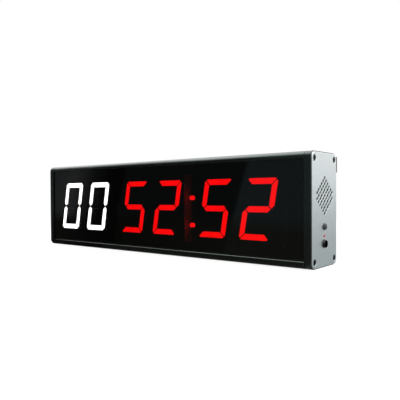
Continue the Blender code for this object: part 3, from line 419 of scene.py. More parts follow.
# Diffusing epoxy lit from behind: an even glow, a little stronger over each lamp die. Its sides are taped
# off inside the housing, so only the front shines
whiteBar = {
    "shader": {"IOR": 1.5},
    "tints": ("#fffcf0", "#fffef6"),
    "cloud": 7,
    "grain": 0.4,
    "roughness": (0.36, 0.44),
    "relief": 0.002,
    "power": (14.0, 17.0),
    "litNode": "digit_1_housing",
    "litDepth": 0.12,  # mm behind the front of that node, where its glow ends
}
redBar = {**whiteBar, "tints": ("#ff0003", "#ff0206"), "power": (6.4, 7.4)}

# Tinted epoxy domes over one die each, which shine from their front half
redDome = {
    **redBar,
    "tints": ("#ff0004", "#ff0a0e"),
    "cloud": 2,
    "power": (7.0, 9.5),
    "litNode": "colon_led_upper",
    "litDepth": 4.5,
}


def shineOnOneSide(tree, power, axis, side, limit):
    # The finish shines with this power where its place on the axis is less or greater than the limit, in m
    axes = addNode(tree, "ShaderNodeSeparateXYZ", links={0: tree.nodes["place"].outputs["Object"]})
    front = addNode(tree, "ShaderNodeMath", {"operation": side, 1: limit}, {0: axes.outputs[axis]})
    shine = addNode(tree, "ShaderNodeMath", {"operation": "MULTIPLY"}, {0: power, 1: front})
    tree.links.new(shine.outputs[0], tree.nodes["Principled BSDF"].inputs["Emission Strength"])


def makeLitFinish(name, recipe):
    made = makeFinish(name, recipe)
    tree = made.node_tree
    power = addNode(tree, "ShaderNodeMapRange", spread(*recipe["power"]), {"Value": tree.nodes["cloud"]})
    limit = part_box(recipe["litNode"])[0].y + recipe["litDepth"] / 1000
    shineOnOneSide(tree, power, "Y", "LESS_THAN", limit)
    glow = tree.nodes["Principled BSDF"].inputs["Emission Color"]
    tree.links.new(tree.nodes["tint"].outputs[2], glow)
    return made


# The same epoxy, faintly lit: dark red over the die cup, with light gathered pink at the edge of the lens
statusLens = {
    "shader": {"IOR": 1.5},
    "tints": ("#1c0508", "#2a0a0f"),
    "cloud": 1,
    "grain": 0.4,
    "roughness": (0.12, 0.2),
    "relief": 0.001,
    "edgeGlow": "#f07888",
    "power": 2.6,
    "coreTo": 1.1,  # mm from the lens's axis, where the glow starts and where it is full
    "edgeFrom": 1.5,
    "litDepth": 1.0,  # mm behind its tip
}


def makeLensFinish(name, recipe):
    made = makeFinish(name, recipe)
    tree = made.node_tree
    middle = caseToWorld @ middleOf("status_led")
    lensAxis = {"Location": (0, -middle.y, -middle.z), "Scale": (0, 1, 1)}
    place = tree.nodes["place"].outputs["Object"]
    centred = addNode(tree, "ShaderNodeMapping", lensAxis, {"Vector": place})
    off = addNode(tree, "ShaderNodeVectorMath", {"operation": "LENGTH"}, {0: centred})
    core, edge = recipe["coreTo"] / 1000, recipe["edgeFrom"] / 1000
    ring = {"From Min": core, "From Max": edge, "To Max": recipe["power"]}
    power = addNode(tree, "ShaderNodeMapRange", ring, {"Value": off.outputs["Value"]})
    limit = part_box("status_led")[1].x - recipe["litDepth"] / 1000
    shineOnOneSide(tree, power, "X", "GREATER_THAN", limit)
    glow = tree.nodes["Principled BSDF"].inputs["Emission Color"]
    glow.default_value = hexColour(recipe["edgeGlow"])
    return made


# One finish for each material slot of the record
finishes = {
    "black_anodised": makeFinish("anodised_aluminium_black", blackAnodised),
    "smoked_acrylic": makeFinish("acrylic_smoked_cast", smokedAcrylic),
    "black_abs": makeFinish("abs_black_moulded", blackMoulding),
    "blasted_aluminium": makeFinish("aluminium_bead_blasted", blastedAluminium),
    "black_screw": makeFinish("steel_zinc_black", blackScrew),
    "module_face": makeHousingFinish("abs_grey_printed_black", digitHousing),
    "white_segment": makeLitFinish("epoxy_bar_lit_white", whiteBar),
    "red_segment": makeLitFinish("epoxy_bar_lit_red", redBar),
    "circuit_board": makeBoardFinish("glass_epoxy_solder_mask", solderMask),
    "chip_epoxy": makeFinish("epoxy_moulded_black", chipEpoxy),
    "nylon": makeFinish("nylon_natural", naturalNylon),
    "cell_steel": makeFinish("steel_nickel_plated", nickelSteel),
    "zinc_steel": makeFinish("steel_zinc_plated", zincSteel),
    "speaker_paper": makeFinish("paper_pulp_black", speakerPaper),
    "foam": makeFinish("foam_closed_cell", closedFoam),
    "ferrite": makeFinish("ferrite_sintered", groundFerrite),
    "brass_nickel": makeFinish("brass_nickel_plated", nickelBrass),
    "lead_pvc": makeFinish("pvc_extruded_black", leadJacket),
    "button_plastic": makeFinish("abs_black_polished", polishedButton),
}
sawnEnd = makeFinish("aluminium_saw_cut", sawnAluminium)
barrelPlating = makeFinish("brass_black_nickel", blackNickel)
unlitBar = makeFinish("epoxy_bar_unlit", darkBar)
colonDome = makeLitFinish("epoxy_dome_lit_red", redDome)
statusGlow = makeLensFinish("epoxy_lens_faintly_lit", statusLens)
print(f"materials made for {len(finishes)} slots")


# Shared ways to draw and finish a piece

drawing = {
    "merge": 0.0005,  # mm, points closer than this become one
    "copyMerge": 0.002,  # the same on a copy of a node
    "speck": 0.0001,
    "flatAngle": 1,  # degrees, faces this close to one plane are joined
    "bevelAngle": 40,  # edges sharper than this are broken
    "sharpAngle": 32,  # edges sharper than this shade as edges
    "toolProud": 0.2,  # mm, how far outside a face a cutting tool starts
    "toolSpare": 1.0,  # and how far it runs on past a hole's end
    "bevelSteps": 2,
    "blockSteps": 3,
    "drillSteps": 32,
}


def plainMesh(obj):
    bpy.context.view_layer.update()
    graph = bpy.context.evaluated_depsgraph_get()
    return bpy.data.meshes.new_from_object(obj.evaluated_get(graph), depsgraph=graph)


def newObject(name, mesh):
    obj = bpy.data.objects.new(name, mesh)
    scene.collection.objects.link(obj)
    return obj


def bake(obj, helpers=()):
    # Turns the object's modifiers into plain mesh and removes the helpers that they used
    mesh = plainMesh(obj)
    obj.modifiers.clear()
    obj.data = mesh
    for helper in helpers:
        bpy.data.objects.remove(helper)
    return obj


def mergeMesh(mesh, merge, flatAngle=None):
    # Joins points that lie together and, with an angle in degrees, faces that lie in one plane
    shape = bmesh.new()
    shape.from_mesh(mesh)
    points, edges = shape.verts, shape.edges
    bmesh.ops.remove_doubles(shape, verts=points, dist=merge)
    if flatAngle:
        angle = math.radians(flatAngle)
        bmesh.ops.dissolve_limit(shape, angle_limit=angle, verts=points, edges=edges, delimit={"NORMAL"})
    bmesh.ops.recalc_face_normals(shape, faces=shape.faces)
    shape.to_mesh(mesh)
    shape.free()


def finishPiece(obj, body, slot, replaced, look=None):
    # Sets a drawn piece in its place in the frame, with its finish and its body, and hides the nodes it
    # stands for
    obj.data.transform(caseToWorld)
    if look or not obj.data.materials:
        obj.data.materials.clear()
        obj.data.materials.append(look or finishes[slot])
    obj.data.shade_smooth()
    obj.data.set_sharp_from_angle(angle=math.radians(drawing["sharpAngle"]))
    weigh = obj.modifiers.new("weigh", "WEIGHTED_NORMAL")  # broad flat faces shade flat up to their edges
    weigh.keep_sharp = True
    bake(obj)
    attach(obj, body)
    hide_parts(*replaced)
    return obj


def arc(u, v, radius, start, end, steps):
    angles = [math.radians(start + (end - start) * i / steps) for i in range(steps + 1)]
    return [(u + radius * math.cos(a), v + radius * math.sin(a)) for a in angles]


def roundedBox(lowU, lowV, highU, highV, radius, steps):
    corners = [(highU, highV, 0), (lowU, highV, 90), (lowU, lowV, 180), (highU, lowV, 270)]
    loop = []
    for u, v, start in corners:
        inU = u - radius if u == highU else u + radius
        inV = v - radius if v == highV else v + radius
        loop += arc(inU, inV, radius, start, start + 90, steps)
    return loop


# Outlines lie in one of these planes: (y, z) with thickness to +x, or (x, z) with thickness to -y
alongX = Matrix(((0, 0, 1, 0), (1, 0, 0, 0), (0, 1, 0, 0), (0, 0, 0, 1)))
alongY = Matrix(((1, 0, 0, 0), (0, 0, -1, 0), (0, 1, 0, 0), (0, 0, 0, 1)))


def slab(name, loops, plane, low, high, edge):
    # A solid from closed outlines, between two places on its axis, with its edges rounded
    curve = bpy.data.curves.new(name, "CURVE")
    curve.dimensions = "2D"
    curve.fill_mode = "BOTH"
    curve.extrude = (high - low) / 2 - edge
    curve.bevel_depth = edge
    curve.bevel_resolution = drawing["bevelSteps"]
    curve.offset = -edge
    for loop in loops:
        spline = curve.splines.new("POLY")
        spline.points.add(len(loop) - 1)
        for point, (u, v) in zip(spline.points, loop):
            point.co = (u, v, 0, 1)
        spline.use_cyclic_u = True
    drawn = newObject(name + "_outline", curve)
    mesh = plainMesh(drawn)
    bpy.data.objects.remove(drawn)
    middle = (low + high) / 2
    mesh.transform(plane)
    mesh.transform(Matrix.Translation((middle, 0, 0) if plane is alongX else (0, middle, 0)))
    mesh.name = name
    mergeMesh(mesh, drawing["merge"])
    return newObject(name, mesh)


def turned(name, profile, place, axis, steps):
    # A solid turned round its axis. Its (radius, height) points run from tip to foot, and both ends of the
    # profile lie on the axis
    shape = bmesh.new()
    points = [shape.verts.new((radius, 0, height)) for radius, height in profile]
    edges = [shape.edges.new(pair) for pair in zip(points, points[1:])]
    bmesh.ops.spin(
        shape, geom=points + edges, axis=(0, 0, 1), cent=(0, 0, 0), angle=math.tau, steps=steps
    )
    bmesh.ops.remove_doubles(shape, verts=shape.verts, dist=drawing["merge"])
    bmesh.ops.dissolve_degenerate(shape, edges=shape.edges, dist=drawing["speck"])
    bmesh.ops.recalc_face_normals(shape, faces=shape.faces)
    mesh = bpy.data.meshes.new(name)
    shape.to_mesh(mesh)
    shape.free()
    mesh.transform(Matrix.Translation(place) @ axis)
    return newObject(name, mesh)


toRight = Matrix.Rotation(math.radians(90), 4, "Y")
toLeft = Matrix.Rotation(math.radians(-90), 4, "Y")
toFront = Matrix.Rotation(math.radians(90), 4, "X")


def block(name, low, high, edge):
    shape = bmesh.new()
    bmesh.ops.create_cube(shape, size=1)
    size = [b - a for a, b in zip(low, high)]
    bmesh.ops.scale(shape, vec=size, verts=shape.verts)
    middle = [(a + b) / 2 for a, b in zip(low, high)]
    bmesh.ops.translate(shape, vec=middle, verts=shape.verts)
    rounding = {"segments": drawing["blockSteps"], "profile": 0.5}  # Blender's number for a round edge
    bmesh.ops.bevel(shape, geom=shape.edges, offset=edge, affect="EDGES", **rounding)
    mesh = bpy.data.meshes.new(name)
    shape.to_mesh(mesh)
    shape.free()
    return newObject(name, mesh)


def combine(obj, others, operation):
    for other in others:
        boolean = obj.modifiers.new("boolean", "BOOLEAN")
        boolean.operation = operation
        boolean.solver = "EXACT"
        boolean.object = other
    return bake(obj, others)


def softCopy(node, edge, slot, body="case"):
    # A merged copy of a node with its flat faces joined and its edges broken by a small radius
    mesh = nodes[node].data.copy()
    mesh.materials.clear()
    mesh.transform(worldToCase)
    mergeMesh(mesh, drawing["copyMerge"], drawing["flatAngle"])
    obj = newObject(node + "_finished", mesh)
    bevel = obj.modifiers.new("edge", "BEVEL")
    bevel.width = edge
    bevel.segments = drawing["bevelSteps"]
    bevel.limit_method = "ANGLE"
    bevel.angle_limit = math.radians(drawing["bevelAngle"])
    bevel.use_clamp_overlap = True
    bake(obj)
    return finishPiece(obj, body, slot, [node])


def newTree(name, inputs):
    # A geometry node tree with named inputs, its input node and its output node
    tree = bpy.data.node_groups.new(name, "GeometryNodeTree")
    for label, kind in inputs.items():
        tree.interface.new_socket(label, in_out="INPUT", socket_type="NodeSocket" + kind)
    tree.interface.new_socket("Geometry", in_out="OUTPUT", socket_type="NodeSocketGeometry")
    return tree, tree.nodes.new("NodeGroupInput"), tree.nodes.new("NodeGroupOutput")


def closeTree(tree, source, given, out):
    real = addNode(tree, "GeometryNodeRealizeInstances", links={"Geometry": source})
    fed = {"Geometry": real, "Material": given.outputs["Finish"]}
    painted = addNode(tree, "GeometryNodeSetMaterial", links=fed)
    tree.links.new(painted.outputs["Geometry"], out.inputs["Geometry"])


def runTree(obj, tree, values, helpers):
    modifier = obj.modifiers.new(tree.name, "NODES")
    modifier.node_group = tree
    for item in tree.interface.items_tree:
        if item.name in values:
            modifier[item.identifier] = values[item.name]
    return bake(obj, helpers)


# Case, caps and window

caseFinish = {"edge": 0.12, "windowEdge": 0.04, "sawnFrom": 0.9}  # edges in mm

shell = softCopy("case_extrusion", caseFinish["edge"], "black_anodised")
shell.data.materials.append(sawnEnd)
for face in shell.data.polygons:
    face.material_index = int(abs(face.normal.x) > caseFinish["sawnFrom"])  # faces that look left or right
for side in ("left", "right"):
    softCopy(f"end_cap_{side}", caseFinish["edge"], "black_abs")
window = block("front_window", *boxOf("front_panel"), caseFinish["windowEdge"])
finishPiece(window, "case", "smoked_acrylic", ["front_panel"])
print("case, caps and window finished")


# End plates: rounded sheet with countersinks, openings and a diamond of round sound holes

plateSizes = {
    "corner": 5.3,  # mm
    "cornerSteps": 12,
    "edge": 0.4,
    "screwHead": 2.7,
    "screwHeadDepth": 1.4,
    "screwShank": 1.2,
    "screwSink": 0.1,
    "screwSteps": 40,
    "play": 0.3,
}
plateOpenings = {  # node behind each opening, its radius and the broken rim round it
    "dc_jack": {"radius": 3.7, "rim": 0.12},
    "status_led": {"radius": 1.7, "rim": 0.1},
    "power_button": {"radius": 3.0, "rim": 0.15},
}
screwPlaces = [middleOf(f"end_screw_right_{i}") for i in range(1, 5)]


def drill(name, radius, place, axis, depth, rim, steps=drawing["drillSteps"]):
    # A drill with a countersinking collar. It starts just outside the face and cuts inwards
    out = drawing["toolProud"]
    profile = [(0, out), (radius + rim + out, out), (radius, -rim), (radius, -depth), (0, -depth)]
    return turned(name, profile, place, axis, steps)


def makePlate(node, outward, openings):
    low, high = boxOf(node)
    face = high.x if outward is toRight else low.x
    corner, steps = plateSizes["corner"], plateSizes["cornerSteps"]
    outline = roundedBox(low.y, low.z, high.y, high.z, corner, steps)
    plate = slab(node + "_finished", [outline], alongX, low.x, high.x, plateSizes["edge"])
    depth = high.x - low.x + drawing["toolSpare"]
    tools = []
    for behind, opening in openings.items():
        middle = middleOf(behind)
        place = (face, middle.y, middle.z)
        tools.append(drill("tool_" + behind, opening["radius"], place, outward, depth, opening["rim"]))
    head, shank, play = plateSizes["screwHead"], plateSizes["screwShank"], plateSizes["play"]
    slope = (head - shank) / plateSizes["screwHeadDepth"]
    seat = plateSizes["screwHeadDepth"] + plateSizes["screwSink"]
    mouth, bore, out = head + play, shank + play, drawing["toolProud"]
    sink = [(0, out), (mouth + slope * out, out), (mouth - slope * seat, -seat)]
    sink += [(bore, -seat), (bore, -depth), (0, -depth)]
    for i, middle in enumerate(screwPlaces):
        place = (face, middle.y, middle.z)
        tools.append(turned(f"tool_sink_{i}", sink, place, outward, plateSizes["screwSteps"]))
    return combine(plate, tools, "DIFFERENCE")


soundHoles = {  # those with a capital feed the tree below
    "Holes a side": 7,
    "Pitch": 6.0,  # mm between two holes of a row
    "Row pitch": 2.54,
    "Side reach": 16.0,  # holes further out to the sides are left out
    "radius": 1.55,
    "rim": 0.25,
    "depth": 3.0,
    "steps": 16,
}


def soundHoleTree():
    tree, given, out = newTree(
        "soundHoles",
        {
            "Geometry": "Geometry",
            "Drill": "Object",
            "Holes a side": "Int",
            "Pitch": "Float",
            "Row pitch": "Float",
            "Side reach": "Float",
            "Middle": "Vector",
            "Finish": "Material",
        },
    )
    # A square lattice of points turned to stand on its corner, then stretched to the two pitches
    count = given.outputs["Holes a side"]
    side = addNode(tree, "ShaderNodeMath", {"operation": "SUBTRACT", 1: 1.0}, {0: count})
    laid = {"Size X": side, "Size Y": side, "Vertices X": count, "Vertices Y": count}
    lattice = addNode(tree, "GeometryNodeMeshGrid", links=laid)
    spot = addNode(tree, "GeometryNodeInputPosition")
    axes = addNode(tree, "ShaderNodeSeparateXYZ", links={0: spot})
    both = {0: axes.outputs["X"], 1: axes.outputs["Y"]}
    across = addNode(tree, "ShaderNodeMath", {"operation": "SUBTRACT"}, both)
    up = addNode(tree, "ShaderNodeMath", {"operation": "ADD"}, both)
    half = {"operation": "MULTIPLY", 1: 0.5}
    halfPitch = addNode(tree, "ShaderNodeMath", half, {0: given.outputs["Pitch"]})
    y = addNode(tree, "ShaderNodeMath", {"operation": "MULTIPLY"}, {0: across, 1: halfPitch})
    rows = {0: up, 1: given.outputs["Row pitch"]}
    z = addNode(tree, "ShaderNodeMath", {"operation": "MULTIPLY"}, rows)
    flat = addNode(tree, "ShaderNodeCombineXYZ", links={"Y": y, "Z": z})
    place = {0: flat, 1: given.outputs["Middle"]}
    moved = addNode(tree, "ShaderNodeVectorMath", {"operation": "ADD"}, place)
    far = addNode(tree, "ShaderNodeMath", {"operation": "ABSOLUTE"}, {0: y})
    beyond = {"data_type": "FLOAT", "operation": "GREATER_THAN"}
    outside = addNode(tree, "FunctionNodeCompare", beyond, {0: far, 1: given.outputs["Side reach"]})
    unkept = {"Geometry": lattice, "Selection": outside}
    kept = addNode(tree, "GeometryNodeDeleteGeometry", {"domain": "POINT"}, unkept)
    placed = addNode(tree, "GeometryNodeSetPosition", links={"Geometry": kept, "Position": moved})
    tool = addNode(tree, "GeometryNodeObjectInfo", links={"Object": given.outputs["Drill"]})
    copies = {"Points": placed, "Instance": tool.outputs["Geometry"]}
    drills = addNode(tree, "GeometryNodeInstanceOnPoints", links=copies)
    solid = addNode(tree, "GeometryNodeRealizeInstances", links={"Geometry": drills})
    cut = {"operation": "DIFFERENCE", "solver": "EXACT"}
    pierced = addNode(tree, "GeometryNodeMeshBoolean", cut, {"Mesh 1": given, "Mesh 2": solid})
    closeTree(tree, pierced, given, out)
    return tree


leftPlate = makePlate("end_plate_left", toLeft, {})
finishPiece(leftPlate, "case", "blasted_aluminium", ["end_plate_left"])

rightPlate = makePlate("end_plate_right", toRight, plateOpenings)
cone = middleOf("speaker_cone")
radius, depth = soundHoles["radius"], soundHoles["depth"]
rim, steps = soundHoles["rim"], soundHoles["steps"]
soundDrill = drill("sound_drill", radius, (0, 0, 0), toRight, depth, rim, steps)
holes = {
    **soundHoles,
    "Drill": soundDrill,
    "Middle": (boxOf("end_plate_right")[1].x, cone.y, cone.z),
    "Finish": finishes["blasted_aluminium"],
}
runTree(rightPlate, soundHoleTree(), holes, [soundDrill])
finishPiece(rightPlate, "case", "blasted_aluminium", ["end_plate_right"])
print("end plates finished")


# End screws: one cross-recessed screw, set on its eight places and turned as driven by hand

screwSizes = {
    "headEdge": 0.15,  # mm
    "length": 15.0,
    "recessArm": 1.55,
    "recessWidth": 0.62,
    "recessDepth": 1.1,
    "recessEdge": 0.12,
    "turnSeed": 7,
}


def screwTree():
    tree, given, out = newTree(
        "endScrews",
        {"Geometry": "Geometry", "Screw": "Object", "Turn seed": "Int", "Finish": "Material"},
    )
    # Each screw leans from upright to point out of its own end of the case, then turns on its axis
    spot = addNode(tree, "GeometryNodeInputPosition")
    axes = addNode(tree, "ShaderNodeSeparateXYZ", links={0: spot})
    side = addNode(tree, "ShaderNodeMath", {"operation": "SIGN"}, {0: axes.outputs["X"]})
    tilt = addNode(tree, "ShaderNodeMath", {"operation": "MULTIPLY", 1: math.pi / 2}, {0: side})
    lean = addNode(tree, "ShaderNodeCombineXYZ", links={"Y": tilt})
    turns = {"data_type": "FLOAT", 2: 0.0, 3: math.pi / 2}
    driven = addNode(tree, "FunctionNodeRandomValue", turns, {"Seed": given.outputs["Turn seed"]})
    twist = addNode(tree, "ShaderNodeCombineXYZ", links={"Z": driven.outputs[1]})
    tool = addNode(tree, "GeometryNodeObjectInfo", links={"Object": given.outputs["Screw"]})
    copies = {"Points": given, "Instance": tool.outputs["Geometry"], "Rotation": lean}
    screws = addNode(tree, "GeometryNodeInstanceOnPoints", links=copies)
    turning = {"Instances": screws, "Rotation": twist}
    twisted = addNode(tree, "GeometryNodeRotateInstances", {"Local Space": True}, turning)
    closeTree(tree, twisted, given, out)
    return tree


def makeScrew():
    # One countersunk screw standing on +z with its face at height 0
    head, shank, edge = plateSizes["screwHead"], plateSizes["screwShank"], screwSizes["headEdge"]
    seat, length = plateSizes["screwHeadDepth"], screwSizes["length"]
    profile = [(0, 0), (head - edge, 0), (head, -edge), (shank, -seat), (shank, -length), (0, -length)]
    screw = turned("screw", profile, (0, 0, 0), Matrix.Identity(4), plateSizes["screwSteps"])
    half = Vector((screwSizes["recessArm"], screwSizes["recessWidth"] / 2, screwSizes["recessDepth"]))
    arms = []
    for i in range(2):
        arm = block(f"arm_{i}", -half, half, screwSizes["recessEdge"])
        arm.data.transform(Matrix.Rotation(i * math.pi / 2, 4, "Z"))
        arms.append(arm)
    return combine(screw, arms, "DIFFERENCE")


screwNodes = [f"end_screw_{side}_{i}" for side in ("left", "right") for i in range(1, 5)]
screwFace = boxOf("end_screw_right_1")[1].x
screwPoints = bpy.data.meshes.new("end_screws")
screwPoints.from_pydata(
    [(side * screwFace, place.y, place.z) for side in (-1, 1) for place in screwPlaces], [], []
)
endScrews = newObject("end_screws", screwPoints)
oneScrew = makeScrew()
runTree(
    endScrews,
    screwTree(),
    {"Screw": oneScrew, "Turn seed": screwSizes["turnSeed"], "Finish": finishes["black_screw"]},
    [oneScrew],
)
finishPiece(endScrews, "case", "black_screw", screwNodes)
print("end screws set")


# Digits: seven slanted bars a module, lit or dark by the time shown

digitSizes = {
    "width": 32.4,  # mm
    "height": 56.4,
    "stroke": 5.4,
    "gap": 0.85,
    "cornerCut": 2.7,
    "slant": 10.0,  # degrees
    "depth": 10.0,
    "edge": 0.1,
    "darkSink": 0.15,  # how far an unlit bar seems to lie behind the face
    "shown": "005252",
}
barsLit = {"0": "abcdef", "2": "abged", "5": "afgcd"}


def barOutlines():
    # The bars a to g about the middle of a digit
    half, right, thick = digitSizes["height"] / 2, digitSizes["width"] / 2, digitSizes["stroke"]
    miter = digitSizes["gap"] / math.sqrt(2)
    cut = digitSizes["cornerCut"]
    near, far = (cut - miter) / 2, (cut + miter) / 2
    inner, middle = right - thick, thick / 2
    inside, point = inner - miter, right - middle - miter
    top = [
        (far - right, half - near),
        (cut - right, half),
        (right - cut, half),
        (right - far, half - near),
        (inside, half - thick),
        (-inside, half - thick),
    ]
    upperLeft = [
        (near - right, half - far),
        (-inner, half - thick - miter),
        (-inner, middle + miter),
        (middle - right, miter),
        (-right, middle + miter),
        (-right, half - cut),
    ]
    across = [
        (-point, 0),
        (-inside, middle),
        (inside, middle),
        (point, 0),
        (inside, -middle),
        (-inside, -middle),
    ]

    def flipped(points, u, v):
        return [(u * x, v * z) for x, z in points]

    bars = {
        "a": top,
        "b": flipped(upperLeft, -1, 1),
        "c": flipped(upperLeft, -1, -1),
        "d": flipped(top, 1, -1),
        "e": flipped(upperLeft, 1, -1),
        "f": upperLeft,
        "g": across,
    }
    lean = math.tan(math.radians(digitSizes["slant"]))
    return {name: [(x + z * lean, z) for x, z in points] for name, points in bars.items()}


def makeDigit(number, shown):
    housing, bars = f"digit_{number}_housing", f"digit_{number}_segments"
    middle = middleOf(housing)
    front = boxOf(housing)[0].y
    back, sunk = front + digitSizes["depth"], front + digitSizes["darkSink"]
    lit, dark = [], []
    for letter, outline in barOutlines().items():
        placed = [(middle.x + x, middle.z + z) for x, z in outline]
        (lit if letter in barsLit[shown] else dark).append(placed)
    slot = "white_segment" if shown == "0" else "red_segment"
    for word, outlines, face, look in (("lit", lit, front, None), ("dark", dark, sunk, unlitBar)):
        made = slab(f"digit_{number}_bars_{word}", outlines, alongY, face, back, digitSizes["edge"])
        finishPiece(made, "case", slot, [bars], look)


for number, shown in enumerate(digitSizes["shown"], 1):
    makeDigit(number, shown)
print("digits lit")


# Colon lamps and status lamp: domed LEDs with a flange at the foot

lampSizes = {  # mm
    "colonRadius": 2.2,
    "statusRadius": 1.6,
    "statusLength": 5.3,
    "flange": 0.4,
    "flangeLength": 1.0,
    "domeSteps": 8,
    "steps": 32,
}


def domedLamp(name, node, radius, length, foot, axis, look):
    dome = [(p, length - radius + q) for q, p in arc(0, 0, radius, 0, 90, lampSizes["domeSteps"])]
    flange, top = radius + lampSizes["flange"], lampSizes["flangeLength"]
    profile = dome + [(radius, top), (flange, top), (flange, 0), (0, 0)]
    lamp = turned(name, profile, foot, axis, lampSizes["steps"])
    finishPiece(lamp, "case", "red_segment", [node], look)


for word in ("upper", "lower"):
    node, radius = f"colon_led_{word}", lampSizes["colonRadius"]
    low, high = boxOf(node)
    middle = middleOf(node)
    foot = (middle.x, high.y, middle.z)
    domedLamp(f"colon_lamp_{word}", node, radius, high.y - low.y, foot, toFront, colonDome)

radius, length = lampSizes["statusRadius"], lampSizes["statusLength"]
tip, middle = boxOf("status_led")[1].x, middleOf("status_led")
foot = (tip - length, middle.y, middle.z)
domedLamp("status_lamp", "status_led", radius, length, foot, toRight, statusGlow)
print("lamps made")


# Power button, with its flange behind the plate

plateBack = boxOf("end_plate_right")[0].x
buttonSizes = {
    "radius": 2.8,  # mm
    "edge": 0.5,
    "crown": 0.3,  # rise of its face from edge to middle
    "flange": 1.1,
    "flangeThickness": 1.2,
    "flangeSpace": 0.3,
    "boss": 2.2,
    "crownSteps": 6,
    "edgeSteps": 5,
    "steps": 48,
}
low, high = boxOf("power_button")
middle = middleOf("power_button")
face = high.x - plateBack - buttonSizes["crown"]
radius, edge, boss = buttonSizes["radius"], buttonSizes["edge"], buttonSizes["boss"]
flat, flange = radius - edge, radius + buttonSizes["flange"]
steps = buttonSizes["crownSteps"]
crown = [(flat * i / steps, face + buttonSizes["crown"] * (1 - (i / steps) ** 2)) for i in range(steps)]
rim = [(flat + p, face - edge + q) for p, q in arc(0, 0, edge, 90, 0, buttonSizes["edgeSteps"])]
flangeTop = -buttonSizes["flangeSpace"]
flangeFoot = flangeTop - buttonSizes["flangeThickness"]
bossFoot = low.x - plateBack
profile = crown + rim + [(radius, flangeTop), (flange, flangeTop), (flange, flangeFoot)]
profile += [(boss, flangeFoot), (boss, bossFoot), (0, bossFoot)]
place = (plateBack, middle.y, middle.z)
button = turned("power_button_cap", profile, place, toRight, buttonSizes["steps"])
finishPiece(button, "power_button", "button_plastic", ["power_button"])


# Power socket: square body, threaded barrel through the plate, and its centre pin

jackSizes = {
    "barrel": 3.4,  # mm
    "bore": 3.0,
    "boreDepth": 9.0,
    "mouthRim": 0.1,
    "threadPitch": 0.6,
    "threadDepth": 0.22,
    "barrelRoot": 1.0,  # how far it runs on into the body
    "platedFrom": 0.01,  # in front of the body
    "platedWithin": 0.2,  # of the thread's root, and half as much of its crests
    "bodyEdge": 0.3,
    "bodySpace": 1.9,  # body to the plate
    "pin": 1.0,
    "pinTip": 0.7,
    "pinShoulder": 1.1,
    "pinTipSteps": 5,
    "pinSteps": 24,
    "steps": 40,
}
low, high = boxOf("dc_jack")
middle = middleOf("dc_jack")
shoulder = plateBack - jackSizes["bodySpace"]
socket = block("dc_socket", low, (shoulder, high.y, high.z), jackSizes["bodyEdge"])
barrel, root = jackSizes["barrel"], jackSizes["barrel"] - jackSizes["threadDepth"]
reach, pitch = high.x - shoulder, jackSizes["threadPitch"]
profile = [(0, 0), (root, 0)]
for ridge in range(int(reach / pitch)):
    profile.append((barrel, -(ridge + 0.5) * pitch))
    profile.append((root, -(ridge + 1) * pitch))
barrelFoot = -reach - jackSizes["barrelRoot"]
profile += [(root, barrelFoot), (0, barrelFoot)]
mouth = (high.x, middle.y, middle.z)
steps = jackSizes["steps"]
combine(socket, [turned("thread", profile, mouth, toRight, steps)], "UNION")
depth, rim = jackSizes["boreDepth"], jackSizes["mouthRim"]
combine(socket, [drill("bore", jackSizes["bore"], mouth, toRight, depth, rim, steps)], "DIFFERENCE")
finishPiece(socket, "case", "black_abs", ["dc_jack"])
socket.data.materials.append(barrelPlating)
near, start = jackSizes["platedWithin"], -reach + jackSizes["platedFrom"]
for face in socket.data.polygons:
    out = worldToCase @ face.center - Vector(mouth)
    around = math.hypot(out.y, out.z)
    face.material_index = int(out.x > start and root - near < around < barrel + near / 2)

low, high = boxOf("dc_jack_pin")
foot, radius, tipRadius = low.x - high.x, jackSizes["pin"], jackSizes["pinTip"]
tip = [(p, q) for q, p in arc(-tipRadius, 0, tipRadius, 0, 90, jackSizes["pinTipSteps"])]
tip += [(radius, -jackSizes["pinShoulder"]), (radius, foot), (0, foot)]
pin = turned("dc_socket_pin", tip, (high.x, middle.y, middle.z), toRight, jackSizes["pinSteps"])
finishPiece(pin, "case", "brass_nickel", ["dc_jack_pin"])
print("button and socket made")


# Hangers on the rear rail

hangerEdges = {"hanger": 0.25, "hanger_nut": 0.12, "hanger_screw": 0.12}  # mm
for side in ("left", "right"):
    for part, edge in hangerEdges.items():
        softCopy(f"{part}_{side}", edge, "zinc_steel", f"hanger_{side}")
print("hangers finished")


# Nodes that keep their CAD shape get the finish of their own slot

slots = {part["node"]: part["material_slot"] for part in frame["record"]["subparts"]}
for name, node in nodes.items():
    if not node.hide_render:
        node.data.materials.clear()
        node.data.materials.append(finishes[slots[name]])
print("kept nodes painted")


# Studio: white floor and surround, soft lamps, and dark cards that only the gloss sees, whose tones are
# painted reflections

studio = {
    "surround": 0.4,  # its light on the object
    "floorSize": 12.0,  # m
    "paper": "#f0f0f0",  # throws light back up
    "floorPaper": "#969696",  # what the camera sees of the floor is this paper under the lamps
    "floorGlow": 0.8,  # and this glow, so that it comes out white with a soft shadow
    "fadeFrom": 0.3,  # m from the middle, where the floor begins to fade into the white backdrop
    "fadeTo": 1.1,
    "floorInGloss": "#92999b",
}


def stageTree(name):
    made = bpy.data.materials.new(name)
    made.use_nodes = True
    made.node_tree.nodes.clear()
    return made, made.node_tree


def stageSheet(name, corners, material):
    mesh = bpy.data.meshes.new(name)
    mesh.from_pydata(corners, [], [(0, 1, 2, 3)])
    mesh.transform(caseToWorld)
    mesh.materials.append(material)
    sheet = newObject(name, mesh)
    sheet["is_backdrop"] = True
    return sheet


